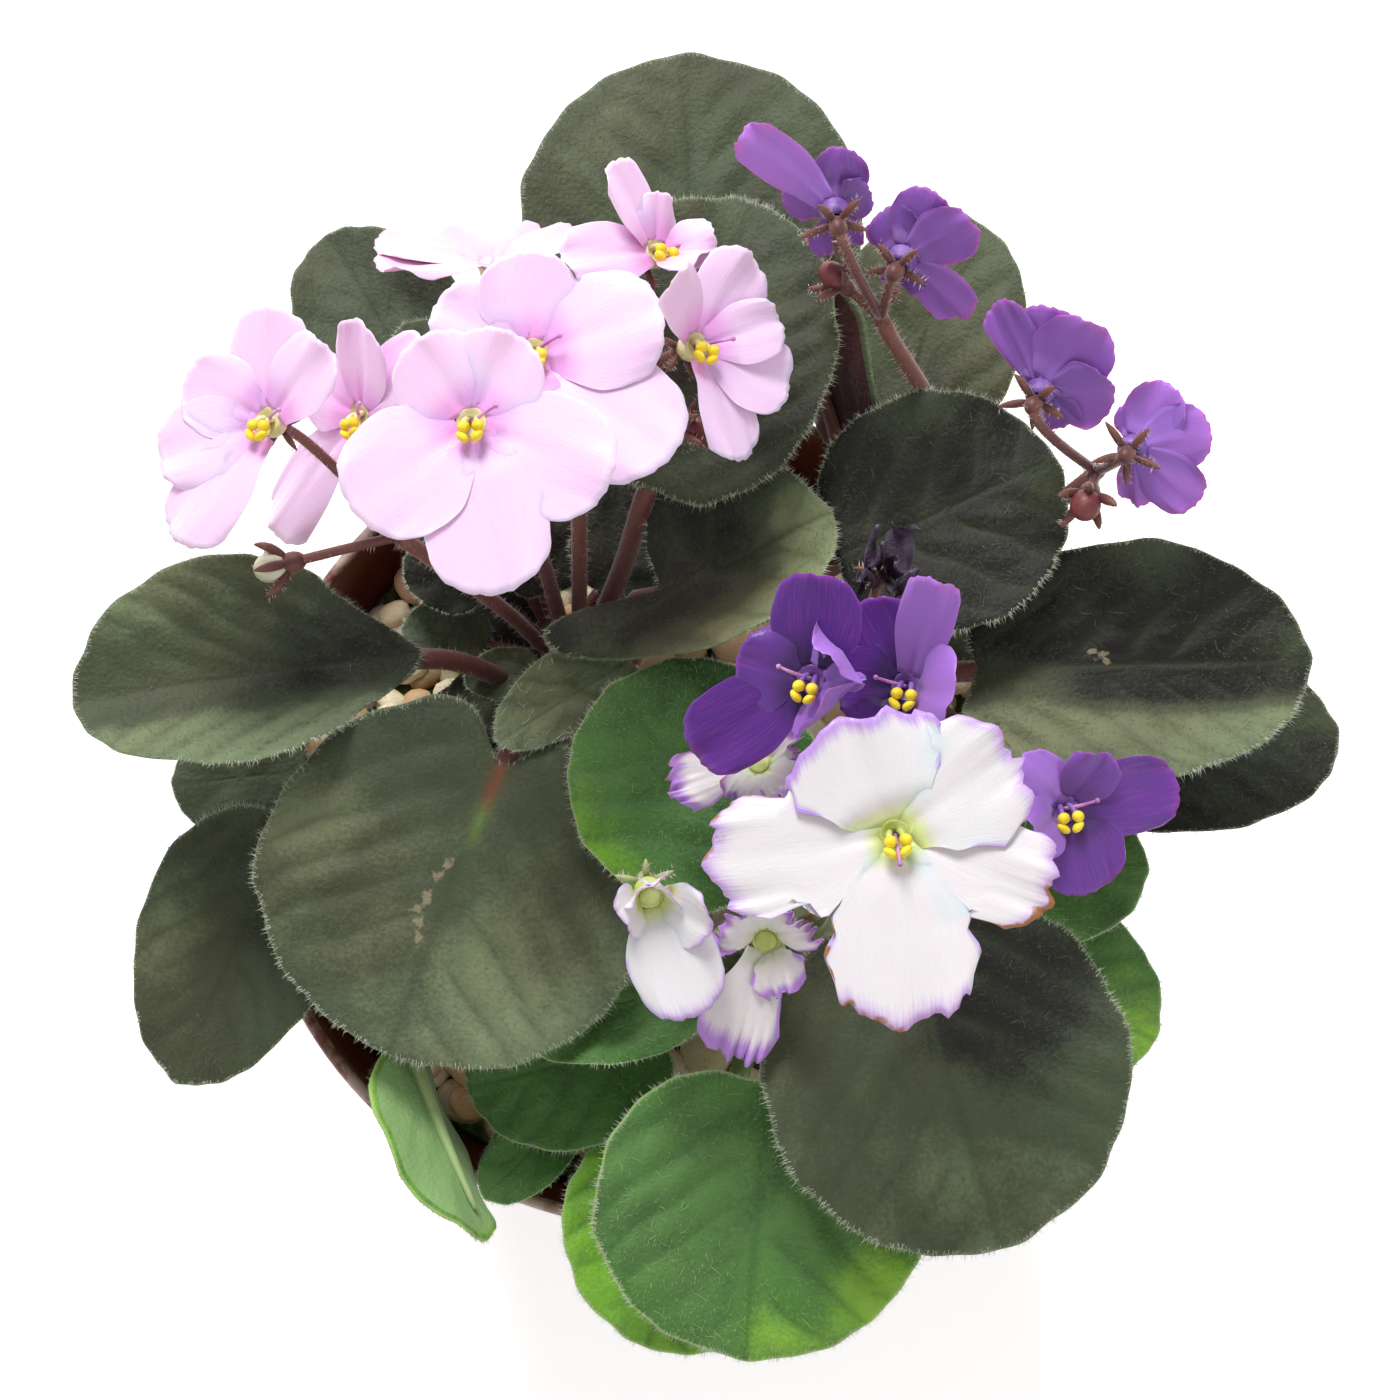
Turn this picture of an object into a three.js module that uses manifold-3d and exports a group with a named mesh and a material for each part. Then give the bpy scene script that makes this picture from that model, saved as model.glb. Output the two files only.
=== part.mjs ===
// Three african violets grown together in one round pot: pink, purple and white.
// Millimetres, +Z up. The origin is the middle of the pot's flat base, and the pink
// plant stands at the left, the purple one at the right and the white one in front.

import * as THREE from 'three';
import { mergeVertices } from 'three/addons/utils/BufferGeometryUtils.js';
import Module from 'manifold-3d';

const wasm = await Module();
wasm.setup();

// Pot
const POT_HEIGHT = 110;
const RIM_RADIUS = 70;
const RIM_BAND = 14;
const RIM_STEP = 3.2;
const BASE_RADIUS = 50;
const WALL = 2;
const FLOOR = 3;
const POT_SIDES = 32;
const DRAIN_RADIUS = 4;
const DRAIN_RING = 28;
const DRAIN_COUNT = 4;
const CLEAR = 0.3;

// Filling
const SOIL_TOP = 94;
const GRAVEL_TOP = 100;
const STONE_PITCH = 6.2;
const STONE_SEED = 11;
const GAP_DEPTH = 4;

// Plants. A petiole starts outwards for PETIOLE_FOOT of its reach and up for PETIOLE_RISE of
// its height, and runs on under the blade as a rib for RIB_SHARE of the blade's length.
const CROWN_RADIUS = 6.5;
const CROWN_FOOT = 80;
const CROWN_TOP = 112;
const LEAF_THICK = 1.1;
const NOTCH_WIDTH = 0.42;
const LIP_ANGLE = 3.75;
const LIP_WIDTH = 0.4;
const LIP_SWEEP = 0.6;
const LIP_RISE = 0.2;
const PETAL_THICK = 0.9;
const PETIOLE_RADIUS = 1.7;
const PETIOLE_FOOT = 0.3;
const PETIOLE_RISE = 0.35;
const LONGEST_NECK = 16;
const NECK_DROP = 2;
const RIB_SHARE = 0.3;
const RIB_RADIUS = 0.6;
const STALK_RADIUS = 1.3;
const STALK_SPREAD = 4.4;
const PEDICEL_RADIUS = 0.8;
const THROAT_RADIUS = 2.3;
const TUBE_DEPTH = 3.2;
const RUFFLE = 1.2;
const STAMENS = { foot: -0.3, top: 2.4, filament: 0.7, reach: 2, anther: 1.1 };
const SEPAL_LENGTH = 4.5;
const SEPAL_ROOT = 1.4;
const SEPAL_THICK = 0.7;
const SEPAL_DROOP = 0.12;
const CALYX_DEPTH = 1.6;
const THROAT_DEPTH = 0.8;
const BUD_LENGTH = 2.2;

const CROWNS = {
  pink: [-16, 24],
  purple: [36, 24],
  white: [16, -27],
};

const COLOURS = {
  pot: 0x6e3a2a,
  soil: 0x2f2620,
  gravel: 0xd9c49a,
  darkLeaf: 0x3d4a3c,
  freshLeaf: 0x4f8a38,
  stalk: 0x7a4038,
  paleStalk: 0x7f8f6a,
  pink: 0xf2cdf0,
  purple: 0x5a2a9c,
  white: 0xf6f1f8,
  anther: 0xf5d820,
};

// Each leaf: at is where its petiole meets the blade, tip is the blade's far end, then its
// width. It may be rolled about its length (degrees), cupped, folded, drooped or waved. lobe
// is how far its two basal lobes reach back, lean makes them longer on one side, and lip
// draws the near one out into a tongue. Its petiole leaves the crown at height level, passes
// via if that is given, and comes to the blade along a straight neck. The small leaves have
// fewer faces.
const LEAVES = [
  { name: 'pink_back', crown: 'pink', at: [4, 69, 127], tip: [1, 123, 132], width: 55,
    level: 102.5 },
  { name: 'pink_back_left', crown: 'pink', at: [-38, 61, 126], tip: [-57, 93, 130], width: 28,
    cup: 3, level: 102.5, small: true },
  { name: 'pink_high', crown: 'pink', at: [-2, 41, 153], tip: [15, 86, 160], width: 42,
    level: 104, neck: 6 },
  { name: 'pink_curled', crown: 'pink', at: [1, 25, 144], tip: [27, 37, 153], width: 31,
    lobe: 0.3, lean: 1, lip: 19, cup: 7, roll: -12, level: 106 },
  { name: 'pink_left', crown: 'pink', at: [-39, 19, 132], tip: [-91, 10, 146], width: 34,
    fold: 8, roll: 8, level: 107, via: [-28, 15, 112] },
  { name: 'pink_front', crown: 'pink', at: [-27, -2, 140], tip: [-44, -47, 137], width: 61,
    lobe: 0.25, cup: 2, level: 105 },
  { name: 'pink_low_left', crown: 'pink', at: [-61, -5, 120], tip: [-79, -47, 117], width: 32,
    level: 103 },
  { name: 'purple_turned', crown: 'purple', at: [33, 48, 136], tip: [24, 81, 146], width: 21,
    roll: -105, cup: 3, level: 103.5, via: [34, 36, 117], small: true },
  { name: 'purple_back', crown: 'purple', at: [41, 58, 126], tip: [51, 96, 132], width: 32,
    level: 102.5 },
  { name: 'purple_high', crown: 'purple', at: [27, 29, 145], tip: [61, 44, 151], width: 39,
    level: 106 },
  { name: 'purple_right', crown: 'purple', at: [48, 16, 138], tip: [100, 16, 145], width: 37,
    lobe: 0.2, lean: 0.6, cup: 7, roll: 4, level: 103 },
  { name: 'purple_low_right', crown: 'purple', at: [62, 6, 121], tip: [110, 9, 122], width: 30,
    level: 102.5 },
  { name: 'purple_front', crown: 'purple', at: [35, -25, 146], tip: [50, -73, 148], width: 55,
    lobe: 0.2, cup: 2, level: 102.5 },
  { name: 'white_high', crown: 'white', at: [15, -17, 144], tip: [-10, 9, 145.5], width: 36,
    lobe: 0.2, roll: -3, level: 106 },
  { name: 'white_left', crown: 'white', at: [6, -33, 130], tip: [-23, -39, 136], width: 19,
    wave: 1.6, level: 105, small: true },
  { name: 'white_low_left', crown: 'white', at: [0, -40, 118], tip: [-32, -48, 118], width: 28,
    level: 104, droop: 2, small: true },
  { name: 'white_turned', crown: 'white', at: [-42, -41, 121], tip: [-31, -73, 125], width: 20,
    roll: 118, cup: 3, level: 102.5, small: true },
  { name: 'white_front', crown: 'white', at: [16, -48, 136], tip: [12, -90, 132], width: 50,
    lobe: 0.2, level: 106 },
  { name: 'white_low_front', crown: 'white', at: [9, -54, 114], tip: [-3, -88, 119], width: 40,
    level: 102.5, droop: 2, small: true },
  { name: 'white_right', crown: 'white', at: [47, -13, 117], tip: [78, -12, 119], width: 26,
    level: 106, droop: 2, small: true },
  { name: 'white_low_right', crown: 'white', at: [48, -24, 112], tip: [79, -40, 114], width: 30,
    level: 102.5, droop: 2, small: true },
];

// Small leaves that are one with their crown
const YOUNG = {
  pink: [
    { at: [-30, 26, 113], tip: [-44, 28, 117], width: 12, level: 106 },
    { at: [-10, 16, 115], tip: [-13, 2, 124], width: 14, roll: 45, level: 110 },
    { at: [-28, 54, 136], tip: [-42, 71, 144], width: 20, roll: 30, level: 105,
      via: [-25, 38, 112] },
    { at: [-59, 4, 116], tip: [-81, 1, 118], width: 20, level: 104, via: [-38, 27, 109] },
  ],
  purple: [
    { at: [44, 24, 114], tip: [55, 26, 120], width: 12, level: 109 },
  ],
  white: [
    { at: [-5, -35, 125], tip: [-17, -40, 128], width: 11, level: 106, via: [7, -26, 117] },
    { at: [-16, -52, 112], tip: [-29, -65, 116], width: 12, level: 102 },
  ],
};

const LOBE_SHOULDER = { along: 0.55, across: 0.5 };
const LOBE_END = { along: 0.96, across: 0.27 };
const LOBE_NOTCH = 0.3;
const LEAST_NOTCH = 3.2;

// Each flower: its node, its throat, the way it faces, and its five lobes in turn about the
// throat: direction in the flower's face, length, width and lift
const BLOOMS = [
  { name: 'pink_front', colour: 'pink', at: [-27, 41, 186],
    face: [-0.05, -0.12, 1], stamens: true,
    lobes: [[63, 14, 14, 12], [123, 14, 14, 12], [219, 21, 18, 4],
      [279, 25, 17, 0], [336, 22, 17, 4]] },
  { name: 'pink_middle', colour: 'pink', at: [-19, 55, 176],
    face: [0, -0.05, 1], stamens: true,
    lobes: [[15, 20, 17, 10], [96, 15, 14, 12], [156, 16, 13, 6],
      [252, 9, 11, -4], [321, 26, 18, 2]] },
  { name: 'pink_right', colour: 'pink', at: [5, 56, 176],
    face: [0.7, -0.05, 0.8], stamens: true,
    lobes: [[21, 15, 9, 14], [60, 17, 12, 12], [138, 14, 9, 30],
      [297, 18, 10, 0], [348, 17, 13, 6]] },
  { name: 'pink_left', colour: 'pink', at: [-58, 45, 174],
    face: [-0.4, -0.1, 0.9], stamens: true,
    lobes: [[39, 16, 11, 14], [87, 17, 13, 10], [150, 15, 12, 8],
      [195, 18, 13, 6], [231, 22, 12, 4]] },
  { name: 'pink_nodding', colour: 'pink', at: [-46, 49, 164],
    face: [-0.6, -0.25, 0.7],
    lobes: [[28, 20, 12, 6], [66, 16, 11, 20], [150, 12, 11, 8],
      [222, 29, 13, -8], [312, 14, 10, 30]] },
  { name: 'pink_back', colour: 'pink', at: [-26, 73, 166],
    face: [0, 0.75, 0.6], turnedAway: true,
    lobes: [[15, 14, 13, 14], [57, 12, 12, 14], [138, 11, 13, 14],
      [180, 18, 14, 8], [213, 19, 14, 4]] },
  { name: 'pink_back_right', colour: 'pink', at: [-1, 73, 170],
    face: [0.6, 0.15, 0.7], turnedAway: true,
    lobes: [[12, 11, 10, 8], [105, 8, 9, 14], [141, 14, 11, 14],
      [203, 17, 11, -14], [315, 9, 11, 4]] },
  { name: 'purple_back_left', colour: 'purple', at: [25, 77, 177],
    face: [-0.1, 0.8, -0.45], turnedAway: true,
    lobes: [[84, 10, 8, 10], [195, 8, 8, 20], [225, 19, 10, 4],
      [279, 9, 9, 20], [345, 6, 8, 10]] },
  { name: 'purple_back_right', colour: 'purple', at: [36, 73, 168],
    face: [0.3, 0.65, -0.45], turnedAway: true,
    lobes: [[42, 16, 9, 6], [90, 7, 7, 10], [237, 8, 9, 25],
      [285, 11, 9, 20], [324, 14, 10, 6]] },
  { name: 'purple_far_right', colour: 'purple', at: [57, 54, 162],
    face: [0.3, 0.6, -0.45], turnedAway: true,
    lobes: [[50, 8, 7, 10], [231, 15, 7, 16], [262, 13, 10, 16],
      [300, 14, 12, 6], [357, 11, 11, 6]] },
  { name: 'purple_outer_right', colour: 'purple', at: [71.2, 46, 158.2],
    face: [0.3, 0.4, -0.6], turnedAway: true,
    lobes: [[39, 13, 9, 6], [84, 10, 6, 16], [262, 7, 6, 16],
      [296, 11, 9, 6], [342, 12, 10, 6]] },
  { name: 'purple_left', colour: 'purple', at: [21, 6, 176],
    face: [-0.35, -0.3, 0.9], stamens: true,
    lobes: [[30, 13, 8, 50], [75, 16, 11, 14], [165, 11, 11, 6],
      [212, 21, 12, 0], [252, 10, 9, 45]] },
  { name: 'purple_middle', colour: 'purple', at: [35, 6, 171],
    face: [-0.2, -0.25, 0.9],
    lobes: [[75, 19, 9, 30], [118, 14, 12, 8], [180, 10, 11, 4],
      [255, 10, 12, 2], [342, 11, 10, 45]] },
  { name: 'purple_low', colour: 'purple', at: [59, -10, 160],
    face: [0.15, -0.3, 0.9],
    lobes: [[12, 17, 11, 8], [60, 11, 8, 30], [141, 11, 10, 8],
      [207, 11, 9, 45], [288, 13, 13, 2]] },
  { name: 'white_front', colour: 'white', at: [32, -18, 186],
    face: [0, -0.1, 1], stamens: true,
    lobes: [[38, 20, 18, 10], [112, 17, 22, 12], [189, 26, 15, 2],
      [273, 26, 20, 0], [342, 23, 14, 4]] },
  { name: 'white_crumpled', colour: 'white', at: [14, -3, 160],
    face: [-0.3, 0.1, 1], turnedAway: true,
    lobes: [[15, 8, 8, 30], [110, 6, 8, 40], [195, 14, 9, 10],
      [252, 8, 8, 20], [318, 11, 8, 30]] },
  { name: 'white_folded', colour: 'white', at: [-2, -23, 160],
    face: [0.15, -0.6, 0.6], turnedAway: true,
    lobes: [[45, 6, 9, 60], [125, 6, 9, 60], [201, 7, 10, 45],
      [288, 19, 13, 35], [342, 11, 10, 45]] },
  { name: 'white_low', colour: 'white', at: [15, -29, 156],
    face: [-0.2, -0.5, 0.8], turnedAway: true,
    lobes: [[42, 12, 9, 40], [88, 11, 9, 40], [147, 8, 9, 30],
      [255, 19, 12, 10], [300, 9, 9, 30]] },
];

// Each flower stalk: its plant, the points that it passes and where it parts into the
// pedicels of the flowers and buds named
const SPRAYS = [
  { name: 'pink_left', crown: 'pink', via: [[-28, 29, 130]], top: [-41, 34, 151],
    blooms: ['pink_left', 'pink_nodding'], buds: [[-58, 30, 150, 2.4]] },
  { name: 'pink_middle', crown: 'pink', via: [[-20, 35, 134]], top: [-24, 44, 160],
    blooms: ['pink_front', 'pink_middle', 'pink_back'], buds: [] },
  { name: 'pink_right', crown: 'pink', via: [[-14, 35, 134]], top: [-13, 47, 162],
    blooms: ['pink_right', 'pink_back_right'], buds: [[3, 46, 168, 2]] },
  { name: 'purple_back', crown: 'purple', via: [[46, 50, 134]], top: [33, 66, 160],
    blooms: ['purple_back_left', 'purple_back_right'], buds: [[27, 70, 164, 2]] },
  { name: 'purple_right', crown: 'purple', via: [[50, 34, 132]], top: [67, 45, 149],
    blooms: ['purple_far_right', 'purple_outer_right'], buds: [[65, 40, 153, 2.4]] },
  { name: 'purple_middle', crown: 'purple', via: [[33, 18, 136]], top: [29, 15, 158],
    blooms: ['purple_left', 'purple_middle'], buds: [[32, 24, 166, 2.8]] },
  { name: 'purple_low', crown: 'purple', via: [[43, 5, 124]], top: [56, -9, 148],
    blooms: ['purple_low'], buds: [] },
  { name: 'white_high', crown: 'white', via: [[26, -24, 138]], top: [26, -18, 160],
    blooms: ['white_front', 'white_crumpled'], buds: [] },
  { name: 'white_low', crown: 'white', via: [[10, -24, 134]], top: [6, -31, 150],
    blooms: ['white_folded', 'white_low'], buds: [] },
];

const UP = new THREE.Vector3(0, 0, 1);
const radians = THREE.MathUtils.degToRad;
const group = new THREE.Group();

// Seeded random numbers from 0 to 1
function randomFrom(seed) {
  let state = seed;
  return () => {
    state = (state * 1664525 + 1013904223) % 4294967296;
    return state / 4294967296;
  };
}

function vector(point) {
  return new THREE.Vector3(...point);
}

// Solids to and from three.js geometry
function solidOf(points, faces) {
  const vertProperties = new Float32Array(points.flatMap((p) => [p.x, p.y, p.z]));
  const triVerts = new Uint32Array(faces.flat());
  return new wasm.Manifold(new wasm.Mesh({ numProp: 3, vertProperties, triVerts }));
}

function solidOfGeometry(geometry) {
  const bare = geometry.clone();
  bare.deleteAttribute('normal');
  bare.deleteAttribute('uv');
  const merged = mergeVertices(bare, 1e-4);
  return new wasm.Manifold(new wasm.Mesh({
    numProp: 3,
    vertProperties: new Float32Array(merged.attributes.position.array),
    triVerts: new Uint32Array(merged.index.array),
  }));
}

function addNode(name, solid, colour, roughness) {
  const { vertProperties, triVerts } = solid.getMesh();
  const geometry = new THREE.BufferGeometry();
  geometry.setAttribute('position', new THREE.BufferAttribute(vertProperties, 3));
  geometry.setIndex(new THREE.BufferAttribute(triVerts, 1));
  geometry.computeVertexNormals();
  const material = new THREE.MeshStandardMaterial({ color: colour, roughness, metalness: 0 });
  const mesh = new THREE.Mesh(geometry, material);
  mesh.name = name;
  group.add(mesh);
}

// The triangles of a thin sheet whose rings of points lie about a middle point. The points
// of its upper face come first, and those of its lower face follow in the same order.
function sheetFaces(around, rings) {
  const faces = [];
  const perFace = 1 + around * rings;
  const both = (a, b, c) => {
    faces.push([a, b, c], [a + perFace, c + perFace, b + perFace]);
  };
  for (let i = 0; i < around; i++) {
    const next = (i + 1) % around;
    both(0, 1 + i, 1 + next);
    for (let ring = 1; ring < rings; ring++) {
      const inner = 1 + (ring - 1) * around;
      const outer = inner + around;
      both(inner + i, outer + i, outer + next);
      both(inner + i, outer + next, inner + next);
    }
    const edge = 1 + (rings - 1) * around;
    faces.push([edge + i, edge + i + perFace, edge + next]);
    faces.push([edge + next, edge + i + perFace, edge + next + perFace]);
  }
  return faces;
}

// A blade's points: place(r, a) is its middle surface at radius r from 0 to 1 and angle a
function bladePoints(around, radii, place) {
  const points = [];
  for (const half of [LEAF_THICK / 2, -LEAF_THICK / 2]) {
    const above = new THREE.Vector3(0, 0, half);
    points.push(place(0, 0).add(above));
    for (const r of radii) {
      for (let i = 0; i < around; i++) {
        points.push(place(r, 2 * Math.PI * i / around).add(above));
      }
    }
  }
  return points;
}

// A round stem through points, with a radius for each, closed at both ends
function stem(path, radii, sides) {
  const points = [];
  const faces = [];
  let across = new THREE.Vector3();
  path.forEach((p, k) => {
    const before = path[Math.max(k - 1, 0)];
    const after = path[Math.min(k + 1, path.length - 1)];
    const along = after.clone().sub(before).normalize();
    if (k === 0) {
      const side = Math.abs(along.x) < 0.8 ? new THREE.Vector3(1, 0, 0) : UP;
      across.crossVectors(along, side);
    }
    across.addScaledVector(along, -across.dot(along)).normalize();
    const up = new THREE.Vector3().crossVectors(along, across);
    for (let i = 0; i < sides; i++) {
      const a = 2 * Math.PI * i / sides;
      points.push(p.clone().addScaledVector(across, radii[k] * Math.cos(a))
        .addScaledVector(up, radii[k] * Math.sin(a)));
    }
  });
  for (let k = 1; k < path.length; k++) {
    for (let i = 0; i < sides; i++) {
      const next = (i + 1) % sides;
      const low = (k - 1) * sides;
      const high = k * sides;
      faces.push([low + i, low + next, high + next], [low + i, high + next, high + i]);
    }
  }
  const last = (path.length - 1) * sides;
  for (let i = 1; i < sides - 1; i++) {
    faces.push([0, i + 1, i], [last, last + i, last + i + 1]);
  }
  return solidOf(points, faces);
}

// A frame with its X axis along x and its Z axis as near to up as roll allows
function bladeFrame(at, tip, roll) {
  const x = tip.clone().sub(at).normalize();
  const flatZ = UP.clone().addScaledVector(x, -UP.dot(x)).normalize();
  const flatY = new THREE.Vector3().crossVectors(flatZ, x);
  const angle = radians(roll);
  const y = flatY.clone().multiplyScalar(Math.cos(angle)).addScaledVector(flatZ, Math.sin(angle));
  const z = new THREE.Vector3().crossVectors(x, y);
  return new THREE.Matrix4().makeBasis(x, y, z).setPosition(at);
}

// The middle surface of a leaf blade, from its notch at the origin to its tip along +X
function leafSurface(leaf, length) {
  const { width, lobe = 0.12, lean = 0, egg = 0.05, cup = 2.5, fold = 0 } = leaf;
  const { droop = 4, wave = 0.7, waves = 6, scallop = 0.012, lip = 0 } = leaf;
  return (r, a) => {
    const fromNotch = Math.abs(Math.PI - a);
    const edge = 1 + scallop * Math.cos(9 * a);
    const basal = lobe * (1 - lean * Math.sin(a));
    const notch = basal * Math.exp(-((fromNotch / NOTCH_WIDTH) ** 2));
    const back = Math.cos(a) < 0 ? basal * Math.cos(a) + notch : 0;
    const turned = ((a - LIP_ANGLE) % (2 * Math.PI) + 2 * Math.PI) % (2 * Math.PI);
    const fromLip = Math.min(turned, 2 * Math.PI - turned);
    const tongue = lip * r ** 2 * Math.exp(-((fromLip / LIP_WIDTH) ** 2));
    const x = length / 2 * (1 + r * edge * (Math.cos(a) + back)) - tongue;
    const y = width / 2 * r * edge * Math.sin(a) * (1 - egg * Math.cos(a)) + LIP_SWEEP * tongue;
    const side = 2 * y / width;
    const along = x / length;
    const z = cup * side ** 2 + fold * Math.sqrt(side ** 2 + 0.02) - droop * along ** 2
      + wave * r ** 3 * Math.sin(waves * a + width) + LIP_RISE * tongue;
    return new THREE.Vector3(x, y, z);
  };
}

function bladeSolid(leaf, around, radii) {
  const at = vector(leaf.at);
  const tip = vector(leaf.tip);
  const frame = bladeFrame(at, tip, leaf.roll ?? 0);
  const surface = leafSurface(leaf, at.distanceTo(tip));
  const points = bladePoints(around, radii, surface);
  points.forEach((p) => p.applyMatrix4(frame));
  return { solid: solidOf(points, sheetFaces(around, radii.length)), frame, surface };
}

// A petiole rises out of its crown and runs on under the blade as the start of its midrib
function petiole(leaf, blade, radius) {
  const [cx, cy] = CROWNS[leaf.crown];
  const at = vector(leaf.at);
  const root = new THREE.Vector3(cx, cy, leaf.level);
  const reach = at.distanceTo(root);
  const axis = new THREE.Vector3().setFromMatrixColumn(blade.frame, 0);
  const ribLine = (share) => {
    const p = blade.surface(1 - 2 * share, Math.PI);
    return p.add(new THREE.Vector3(0, 0, -RIB_RADIUS * radius)).applyMatrix4(blade.frame);
  };
  const out = at.clone().sub(root).setZ(0).normalize();
  const rise = new THREE.Vector3(0, 0, PETIOLE_RISE * (at.z - root.z));
  const foot = root.clone().addScaledVector(out, reach * PETIOLE_FOOT).add(rise);
  const start = leaf.via ? vector(leaf.via) : foot;
  const neckLength = leaf.neck ?? Math.min(reach * PETIOLE_RISE, LONGEST_NECK);
  const neck = at.clone().addScaledVector(axis, -neckLength);
  neck.z -= NECK_DROP;
  const steps = leaf.small ? 4 : 5;
  const path = new THREE.CubicBezierCurve3(root, start, neck, ribLine(0)).getPoints(steps);
  const radii = path.map(() => radius);
  path.push(ribLine(RIB_SHARE));
  radii.push(RIB_RADIUS * radius);
  return stem(path, radii, 5);
}

function crownStem(colour, grow) {
  const [cx, cy] = CROWNS[colour];
  const profile = [
    [0, CROWN_FOOT - grow],
    [CROWN_RADIUS + grow, CROWN_FOOT - grow],
    [CROWN_RADIUS + grow, CROWN_TOP - 3],
    [CROWN_RADIUS * 0.75 + grow, CROWN_TOP + grow],
    [0, CROWN_TOP + 1 + grow],
  ].map(([r, z]) => new THREE.Vector2(r, z));
  const geometry = new THREE.LatheGeometry(profile, 10);
  geometry.rotateX(Math.PI / 2);
  geometry.translate(cx, cy, 0);
  return solidOfGeometry(geometry);
}

const grownCrowns = Object.fromEntries(
  Object.keys(CROWNS).map((colour) => [colour, crownStem(colour, CLEAR)]),
);

function addCrown(colour) {
  let solid = crownStem(colour, 0);
  for (const young of YOUNG[colour]) {
    const leaf = { crown: colour, cup: 1.5, droop: 1, wave: 0.3, small: true, ...young };
    const blade = bladeSolid(leaf, 9, [1]);
    solid = solid.add(blade.solid).add(petiole(leaf, blade, 0.6 * PETIOLE_RADIUS));
  }
  const fresh = colour === 'white';
  addNode(`crown_${colour}`, solid, fresh ? COLOURS.freshLeaf : COLOURS.darkLeaf, 0.8);
}

function addLeaf(leaf) {
  const blade = bladeSolid(leaf, leaf.small ? 14 : 16, leaf.small ? [0.55, 1] : [0.4, 0.75, 1]);
  const whole = blade.solid.add(petiole(leaf, blade, PETIOLE_RADIUS));
  const solid = whole.subtract(grownCrowns[leaf.crown]);
  const colour = leaf.crown === 'white' ? COLOURS.freshLeaf : COLOURS.darkLeaf;
  addNode(`leaf_${leaf.name}`, solid, colour, 0.8);
}

// Flowers
function bloomFrame(bloom) {
  const z = vector(bloom.face).normalize();
  const x = new THREE.Vector3(1, 0, 0).addScaledVector(z, -z.x).normalize();
  const y = new THREE.Vector3().crossVectors(z, x);
  return new THREE.Matrix4().makeBasis(x, y, z).setPosition(vector(bloom.at));
}

// The outline of a corolla: five points a lobe, the first in the notch before it. No point
// leaves its lobe's own sector.
function corollaOutline(lobes) {
  const outline = [];
  const count = lobes.length;
  const turn = (from, to) => ((to - from) % 360 + 360) % 360;
  lobes.forEach(([direction, length, width, lift], i) => {
    const before = lobes[(i + count - 1) % count];
    const after = lobes[(i + 1) % count];
    const back = turn(before[0], direction) / 2;
    const ahead = turn(direction, after[0]) / 2;
    const notch = Math.max(LOBE_NOTCH * Math.min(length, before[1]), LEAST_NOTCH);
    outline.push({ angle: direction - back, radius: notch, lift: (lift + before[3]) / 2 });
    for (const [point, side] of [[LOBE_SHOULDER, -1], [LOBE_END, -1], [LOBE_END, 1],
      [LOBE_SHOULDER, 1]]) {
      const x = point.along * length;
      const y = point.across * width;
      const room = 0.9 * (side < 0 ? back : ahead);
      const angle = Math.min(THREE.MathUtils.radToDeg(Math.atan2(y, x)), room);
      outline.push({ angle: direction + side * angle, radius: Math.hypot(x, y), lift });
    }
  });
  return outline;
}

// One sheet with five lobes about a throat, and a short tube behind it
function corollaSolid(bloom) {
  const frame = bloomFrame(bloom);
  const outline = corollaOutline(bloom.lobes);
  const shares = bloom.turnedAway ? [0, 1] : [0, 0.55, 1];
  const upper = [new THREE.Vector3(0, 0, -THROAT_DEPTH)];
  const lower = [new THREE.Vector3(0, 0, -TUBE_DEPTH)];
  for (const share of shares) {
    outline.forEach(({ angle, radius, lift }, i) => {
      const a = radians(angle);
      const up = radians(lift);
      const reach = (radius - THROAT_RADIUS) * share;
      const out = THROAT_RADIUS + reach * Math.cos(up);
      const ruffle = share * RUFFLE * (i % 2 - 0.5);
      const flat = new THREE.Vector3(Math.cos(a), Math.sin(a), 0);
      const normal = flat.clone().multiplyScalar(-Math.sin(up)).setZ(Math.cos(up));
      const p = flat.multiplyScalar(out).setZ(reach * Math.sin(up) + ruffle);
      upper.push(p);
      lower.push(p.clone().addScaledVector(normal, -PETAL_THICK));
    });
  }
  const points = [...upper, ...lower].map((p) => p.applyMatrix4(frame));
  return solidOf(points, sheetFaces(outline.length, shares.length));
}

function addBloom(bloom) {
  addNode(`bloom_${bloom.name}`, corollaSolid(bloom), COLOURS[bloom.colour], 0.6);
}

// A pair of anthers on a short filament that stands in the throat
function addStamens(bloom) {
  const frame = bloomFrame(bloom);
  const local = (x, y, z) => new THREE.Vector3(x, y, z).applyMatrix4(frame);
  const { foot, top, filament, reach, anther } = STAMENS;
  let solid = stem([local(0, 0, foot), local(0, 0, top)], [filament, filament], 4);
  for (const side of [-1, 1]) {
    const path = [0.1, 0.6, 1].map((share) => local(side * share * reach, 0, top + 0.4 * share));
    solid = solid.add(stem(path, [0.5 * anther, anther, 0.6 * anther], 4));
  }
  addNode(`stamens_${bloom.name}`, solid, COLOURS.anther, 0.5);
}

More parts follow.
